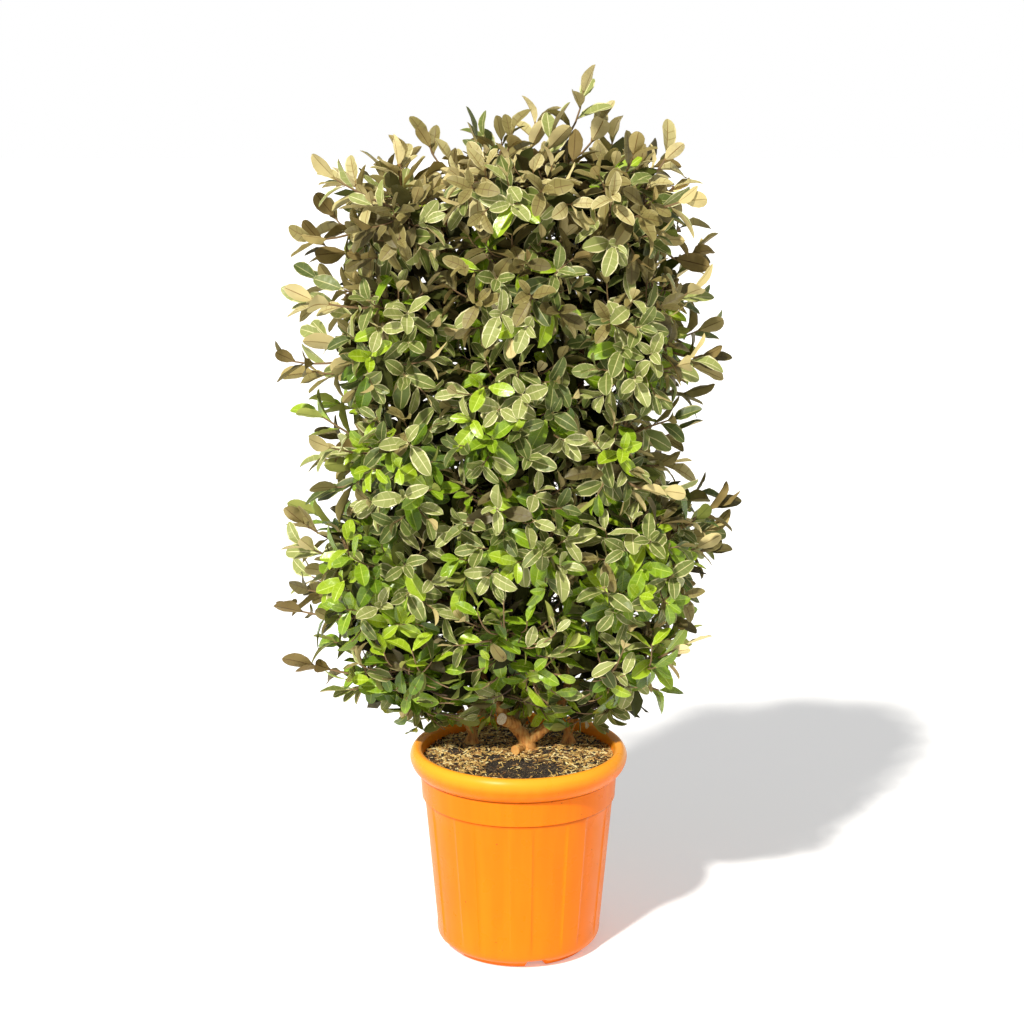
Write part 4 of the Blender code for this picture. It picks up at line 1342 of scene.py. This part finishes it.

# %% [markdown]
# The leaves' colours
# Young leaves are covered with fine scales: bronze-olive where the sun is strongest, at the top and the
# sides, and silver-green with a cream margin lower down. As they age the scales wear off, and the
# leaf under them is a bright glossy green. So the tip of a shoot more often carries scaly leaves, and
# its foot green ones. The leaves inside the crown are given dark colours, a painted shade. Each kind
# has its own set of plain colours, in three tones that are dealt out by spray, with paler tones high on
# the crown as painted light.

# %% Each kind of leaf: its slot, its roughness, its shine, and per tone a colour for each role
LEAF_KINDS = {
    "fresh": ("leaf_fresh", 0.29, 0.50, (
        ((188, 206, 88), (146, 172, 34), (162, 186, 52), (160, 184, 60), (164, 170, 84), (132, 138, 62)),
        ((168, 188, 74), (118, 148, 26), (134, 162, 38), (132, 160, 46), (148, 154, 74), (118, 124, 54)),
        ((134, 154, 54), (84, 112, 18), (98, 124, 28), (98, 124, 34), (118, 126, 56), (94, 102, 44)),
    )),
    "silver": ("leaf_silver", 0.46, 0.30, (
        ((208, 204, 150), (144, 151, 84), (160, 165, 102), (218, 212, 162), (206, 190, 132), (160, 140, 88)),
        ((186, 182, 122), (106, 117, 54), (120, 130, 68), (186, 183, 130), (182, 166, 110), (140, 122, 72)),
        ((148, 148, 90), (78, 91, 37), (90, 102, 47), (144, 143, 92), (150, 138, 86), (114, 98, 56)),
    )),
    "olive": ("leaf_olive", 0.52, 0.30, (
        ((138, 112, 64), (180, 170, 114), (158, 144, 92), (210, 198, 148), (232, 216, 156), (168, 134, 82)),
        ((108, 90, 50), (130, 120, 68), (114, 102, 56), (156, 146, 94), (186, 168, 108), (138, 110, 62)),
        ((84, 70, 38), (94, 86, 46), (82, 74, 38), (112, 104, 60), (134, 116, 68), (98, 78, 42)),
    )),
    # painted shade: the leaves on the inner twigs get these dark colours to stand for the shade inside the
    # crown
    "shade": ("leaf_fresh", 0.70, 0.12, (
        ((76, 82, 30), (68, 74, 24), (68, 74, 24), (76, 82, 30), (74, 70, 30), (64, 58, 28)),
        ((62, 64, 26), (54, 58, 20), (54, 58, 20), (62, 64, 26), (60, 56, 26), (52, 46, 24)),
        ((50, 48, 20), (42, 44, 16), (42, 44, 16), (50, 48, 20), (48, 42, 20), (40, 34, 18)),
    )),
}
UNDER_ROUGHNESS = 0.62
UNDER_SHINE = 0.25
ROUGHNESS_SPREAD = 0.12


# %% The leaves' finishes
def leaf_finish(name, color, roughness, shine):
    """A leaf's surface in one plain colour: noise breaks up its shine and gives it its scales."""
    made, shader, tree = new_finish(name, tint(*color), roughness)
    low, high = roughness - ROUGHNESS_SPREAD, roughness + ROUGHNESS_SPREAD
    vary_roughness(tree, shader, noise_on(tree, 130.0, 3.0), low, high)
    shader.inputs["Specular IOR Level"].default_value = shine
    bump(tree, shader, noise_on(tree, 240.0, 3.0), 0.0005, 0.7)
    bump(tree, shader, noise_on(tree, 1500.0, 2.0), 0.00012, 0.8)
    return made


def kind_finishes(kind):
    """The finishes of one kind of leaf, in the order tone by tone and role by role."""
    _, roughness, shine, tones = LEAF_KINDS[kind]
    made = []
    for number, tone in enumerate(tones):
        for role, color in zip(ROLE_NAMES, tone):
            surface = (UNDER_ROUGHNESS, UNDER_SHINE) if role.startswith("under") else (roughness, shine)
            made.append(leaf_finish(f"{kind}_{role}_{number}", color, *surface))
    return made


# %% [markdown]
# Leaves on the twigs
# Leaves stand round a shoot in a spiral, close together at its tip and further apart below. Each leans
# away from the shoot, more so the older it is, and turns its upper side outwards to the light. A
# leaf that would leave the solids' reach, hang below the crown's foot, touch a stem or cross another
# leaf is tried again, turned and a little smaller, and in the end it is left out.

# %% Where the leaves of a shoot stand, in metres from its tip, and how large they are there
STATIONS = {
    "shoot": (
        (0.000, 0.58), (0.003, 0.74), (0.010, 0.87), (0.020, 0.96), (0.032, 1.01), (0.046, 0.99),
        (0.062, 0.96), (0.079, 0.92),
    ),
    "leader": (
        (0.000, 0.98), (0.009, 0.92), (0.024, 1.06), (0.042, 1.14), (0.063, 1.12), (0.087, 1.06),
        (0.112, 1.00),
    ),
    "second": ((0.000, 0.90), (0.012, 1.00), (0.028, 1.05), (0.047, 1.05), (0.068, 1.00)),
    "inner": ((0.000, 1.15), (0.014, 1.25), (0.030, 1.30), (0.048, 1.30), (0.068, 1.25), (0.090, 1.20)),
}
STATIONS["edge"] = STATIONS["leader"]
CROWN_MARGIN = 0.004
LIMB_CLEARANCE = 0.004
SAG = (0.12, 0.24)
FACE_OUT = 0.55
FACE_UP = 0.40
HEADING_DISORDER = 0.10
FACING_DISORDER = 0.22


def along_twig(points, distance):
    """The place on a twig at a distance back from its tip, and the twig's direction there."""
    for after, before in zip(points[::-1], points[-2::-1]):
        step = (after - before).length
        if distance <= step:
            return after.lerp(before, distance / step), (after - before).normalized()
        distance -= step
    return None


class Leaf:
    """A leaf's place: its root, its axes as the columns of a matrix, its template, tone and age."""

    def __init__(self, root, axes, size, template):
        self.root = np.array(root)
        self.matrix = np.array([axis * size for axis in axes]).T
        self.template = template
        self.tone = 0
        self.is_old = False
        points, faces = COARSE[template]
        self.points = points @ self.matrix.T + self.root
        self.faces = faces

    def inside(self):
        """Whether the leaf stays in the solids' own reach and above the crown's foot."""
        low, high = self.points.min(axis=0), self.points.max(axis=0)
        for k in (0, 1):
            if low[k] < CAD_LOW[k] + CROWN_MARGIN or high[k] > CAD_HIGH[k] - CROWN_MARGIN:
                return False
        return high[2] < CROWN_TOP and all(z > crown_foot(x, y) for x, y, z in self.points)

    def meets_limb(self):
        """Whether the leaf's middle or tip touches one of the stems."""
        places = [Vector(self.points[i]) for i in (4, 7, 10)]
        return any(limb.distance(place) < LIMB_CLEARANCE for limb in LIMBS[:4] for place in places)


class Crowd:
    """The leaves placed so far, in cells, and the test that a new one crosses none of them."""

    def __init__(self):
        self.cells = {}

    def takes(self, leaf):
        """Whether the leaf crosses none of the others, in which case it joins them."""
        middle = Vector(leaf.points.mean(axis=0))
        tree = BVHTree.FromPolygons(leaf.points.tolist(), leaf.faces)
        cell, around = cells_near(middle, LEAF_LENGTH)
        for key in around:
            for other, other_tree in self.cells.get(key, ()):
                if (other - middle).length < LEAF_LENGTH and tree.overlap(other_tree):
                    return False
        self.cells.setdefault(cell, []).append((middle, tree))
        return True


def pose_leaf(root, along, outward, lean, turn, size, rng):
    """A leaf that leans away from its shoot, the more it leans the more it hangs, and faces outwards."""
    side = along.cross(Vector((0.1, 0.2, 1.0))).normalized()
    radial = Matrix.Rotation(turn, 3, along) @ side
    sag = SAG[0] * lean + SAG[1] * lean * lean
    heading = along * math.cos(lean) + radial * math.sin(lean) - Vector((0, 0, sag))
    heading = (heading + disorder(rng, HEADING_DISORDER)).normalized()
    facing = along + outward * FACE_OUT + Vector((0, 0, FACE_UP)) + disorder(rng, FACING_DISORDER)
    facing = (facing - heading * facing.dot(heading)).normalized()
    return Leaf(root, (heading.cross(facing), heading, facing), size, rng.randrange(TEMPLATE_COUNT))


# %% Deal out the kinds by spray
SPRAY_MIDDLE = -0.03
SPRAY_HALF_WIDTH = 0.36
MOST_OLIVE = 0.70
PAINTED_LIGHT_FROM = 1.12
PALE_OLIVE_FROM = 1.38


def kind_of_spray(point, age, rng):
    """The kind of leaf in a spray, from its height, how near it is to the outline, and its age."""
    height = (point.z - CROWN_FOOT) / (CROWN_TOP - CROWN_FOOT)
    side = abs(point.x - SPRAY_MIDDLE) / SPRAY_HALF_WIDTH
    at_side = smooth_step(0.68, 1.0, side) * (0.4 + 0.6 * smooth_step(0.25, 0.55, height))
    olive = 0.08 + 1.05 * smooth_step(0.58, 0.86, height) + 0.55 * at_side
    olive *= 1.0 if age < 0.5 else 0.55
    silver = (0.62 if age < 0.5 else 0.34) * (0.78 + 0.62 * smooth_step(0.15, 0.52, height))
    silver += 0.26 * smooth_step(0.60, 0.80, height)
    if rng.random() < min(MOST_OLIVE, olive):
        return "olive"
    return "silver" if rng.random() < silver else "fresh"


def tone_of_spray(kind, age, height, rng):
    """A tone from 0, pale, to 2, deep: older sprays are deeper, high ones paler as painted light, low olive
    ones deep.
    """
    weights = (5, 5, 2) if age < 0.5 else (2, 5, 4)
    # painted light: sprays high on the crown get paler tones, as where the sun falls on the top
    if height > PAINTED_LIGHT_FROM:
        weights = (7, 4, 1) if age < 0.5 else (4, 5, 2)
    if kind == "olive" and height < PALE_OLIVE_FROM:
        weights = (1, 4, 4)
    return rng.choices((0, 1, 2), weights)[0]


# %% Dress the twigs
TRIES = 6
SHADE_TRIES = 4
LOOSEN = 0.28
SHRINK = 0.05
STRETCH = (0.85, 1.25)
SIZES = (0.84, 1.12)
LEADER_LEAN = (14, 42)
SHOOT_LEAN = (22, 62)


def place_leaf(root, along, outward, lean, turn, size, tries, rng):
    """A leaf that stays in the crown and crosses no other, after a few tries at other turns, or None."""
    for attempt in range(tries):
        loose = LOOSEN * attempt
        new_lean = lean + rng.gauss(0, 0.5) * loose
        new_turn = turn + rng.gauss(0, 1) * loose
        leaf = pose_leaf(root, along, outward, new_lean, new_turn, size * (1 - SHRINK * attempt), rng)
        if leaf.inside() and not leaf.meets_limb() and CROWD.takes(leaf):
            return leaf
    return None


def dress(twig, rng, leaves):
    """Adds the leaves of one twig to the lists by kind and column, and counts those with no room."""
    stations = STATIONS[twig.kind]
    turn = rng.uniform(0, 2 * math.pi)
    stretch = rng.uniform(*STRETCH)
    sprays = {}
    missed = 0
    for number, (distance, size) in enumerate(stations):
        found = along_twig(twig.points, distance * stretch)
        if not found:
            break
        root, along = found
        age = number / (len(stations) - 1) if twig.kind != "second" else 0.5 + 0.1 * number
        old = age > 0.5
        if old not in sprays:
            kind = "shade" if twig.kind == "inner" else kind_of_spray(root, age, rng)
            sprays[old] = (kind, tone_of_spray(kind, age, root.z, rng))
        kind, tone = sprays[old]
        turn += LEAF_TURN + rng.gauss(0, 0.2)
        at_tip, more_below = LEADER_LEAN if twig.kind in ("leader", "edge") else SHOOT_LEAN
        lean = math.radians(at_tip + more_below * min(1.0, age * 1.3)) + rng.gauss(0, 0.12)
        tries = SHADE_TRIES if kind == "shade" else TRIES
        size *= rng.uniform(*SIZES)
        leaf = place_leaf(root, along, twig.space.outward(root), lean, turn, size, tries, rng)
        if leaf:
            leaf.tone = tone
            leaf.is_old = old
            leaves.setdefault((kind, twig.space.column), []).append(leaf)
        else:
            missed += 1
    return missed


CROWD = Crowd()
LEAVES = {}
leaf_rng = random.Random("leaves")
missed = 0
for kind in ("leader", "edge", "shoot", "second", "inner"):
    missed += sum(dress(twig, leaf_rng, LEAVES) for twig in TWIGS if twig.kind == kind)
for (kind, column), placed in sorted(LEAVES.items()):
    print(len(placed), kind, "leaves on the", column)
print(sum(map(len, LEAVES.values())), "leaves in all, and no room for", missed)

# %% Join the leaves of each kind and column
def leaf_mesh(name, placed, templates):
    """One mesh of many leaves, each a copy of its template, turned, scaled and moved."""
    all_points, all_corners, all_finishes = [], [], []
    offset = 0
    for number, (points, corners, roles) in enumerate(templates):
        chosen = [leaf for leaf in placed if leaf.template + TEMPLATE_COUNT * leaf.is_old == number]
        if not chosen:
            continue
        matrices = np.array([leaf.matrix for leaf in chosen])
        roots = np.array([leaf.root for leaf in chosen])
        tones = np.array([leaf.tone for leaf in chosen])
        moved = np.einsum("nij,pj->npi", matrices, points) + roots[:, None]
        all_points.append(moved.reshape(-1, 3))
        all_corners.append(repeated(corners, len(chosen), len(points), offset))
        all_finishes.append((tones[:, None] * len(ROLE_NAMES) + roles[None]).ravel())
        offset += len(chosen) * len(points)
    return mesh_from_arrays(name, *map(np.concatenate, (all_points, all_corners, all_finishes)))


# %% [markdown]
# Each kind of leaf in each column is one piece of less than 200,000 triangles. Between them the
# pieces stand for the fifteen solid masses: the green ones for the lowest two of their column, the
# silver ones for the next two, and the olive ones for the top.

# %% Make the foliage
STANDS_FOR = {"fresh": ("skirt", "low"), "silver": ("waist", "high"), "olive": ("top",), "shade": ()}
for kind, (slot, *_) in LEAF_KINDS.items():
    finishes = kind_finishes(kind)
    templates = PLAIN_TEMPLATES * 2 if kind == "shade" else TEMPLATES
    for column in COLUMNS:
        mesh = leaf_mesh("leaves_" + kind + "_" + column, LEAVES[kind, column], templates)
        nodes = [column + "_" + tier for tier in STANDS_FOR[kind]]
        make_piece(mesh, finishes, slot, nodes, 100)

# %% [markdown]
# The stage
# The plant stands on a plain pale floor before white. One strong soft light comes from the front left
# and above, as the sun does in the picture, and the white surroundings fill the shadows. The camera
# stands where the photographer did: far enough off for the pot's rim to be a flat ellipse, a little
# above the crown and looking down.

# %% The floor and the surroundings
FLOOR_SIZE = 60.0
FLOOR_DROP = 0.0005
FLOOR_GLOW = 0.26
FILL_STRENGTH = 0.42
WHITE = (1.0, 1.0, 1.0, 1.0)
floor_bm = bmesh.new()
bmesh.ops.create_grid(floor_bm, x_segments=1, y_segments=1, size=FLOOR_SIZE / 2)
floor_finish, floor_shader, _ = new_finish("floor_white", (0.9, 0.9, 0.9), 0.9)
floor_shader.inputs["Emission Color"].default_value = WHITE
floor_shader.inputs["Emission Strength"].default_value = FLOOR_GLOW
floor_mesh = mesh_of("floor", floor_bm)
floor_mesh.materials.append(floor_finish)
floor = bpy.data.objects.new("floor", floor_mesh)
floor.location.z = -FLOOR_DROP
bpy.context.scene.collection.objects.link(floor)

world = bpy.data.worlds.new("white_surroundings")
bpy.context.scene.world = world
world.use_nodes = True
parts, links = world.node_tree.nodes, world.node_tree.links
background = parts["Background"]
background.inputs["Color"].default_value = WHITE
background.inputs["Strength"].default_value = FILL_STRENGTH
seen = parts.new("ShaderNodeBackground")
seen.inputs["Color"].default_value = WHITE
paths = parts.new("ShaderNodeLightPath")
either = parts.new("ShaderNodeMixShader")
links.new(paths.outputs["Is Camera Ray"], either.inputs[0])
links.new(background.outputs[0], either.inputs[1])
links.new(seen.outputs[0], either.inputs[2])
links.new(either.outputs[0], parts["World Output"].inputs["Surface"])

# %% The light and the camera
SUN_STRENGTH = 4.45
SUN_SOFTNESS = 4.0
SUN_FROM = Vector((-0.55, -0.95, 1.05))
SUN_COLOR = (1.0, 0.965, 0.90)
CAMERA_PLACE = Vector((-0.012, -3.60, 1.62))
CAMERA_PITCH = 12.52
CAMERA_LENS = 72.07

sun_data = bpy.data.lights.new("key", "SUN")
sun_data.energy = SUN_STRENGTH
sun_data.angle = math.radians(SUN_SOFTNESS)
sun_data.color = SUN_COLOR
sun = bpy.data.objects.new("key", sun_data)
sun.rotation_mode = "QUATERNION"
sun.rotation_quaternion = SUN_FROM.to_track_quat("Z", "Y")
bpy.context.scene.collection.objects.link(sun)

camera_data = bpy.data.cameras.new("camera")
camera_data.lens = CAMERA_LENS
camera_data.sensor_width = 36.0
camera = bpy.data.objects.new("camera", camera_data)
camera.location = CAMERA_PLACE
camera.rotation_euler = (math.radians(90 - CAMERA_PITCH), 0.0, 0.0)
bpy.context.scene.collection.objects.link(camera)
bpy.context.scene.camera = camera
bpy.context.scene.view_settings.view_transform = "Standard"
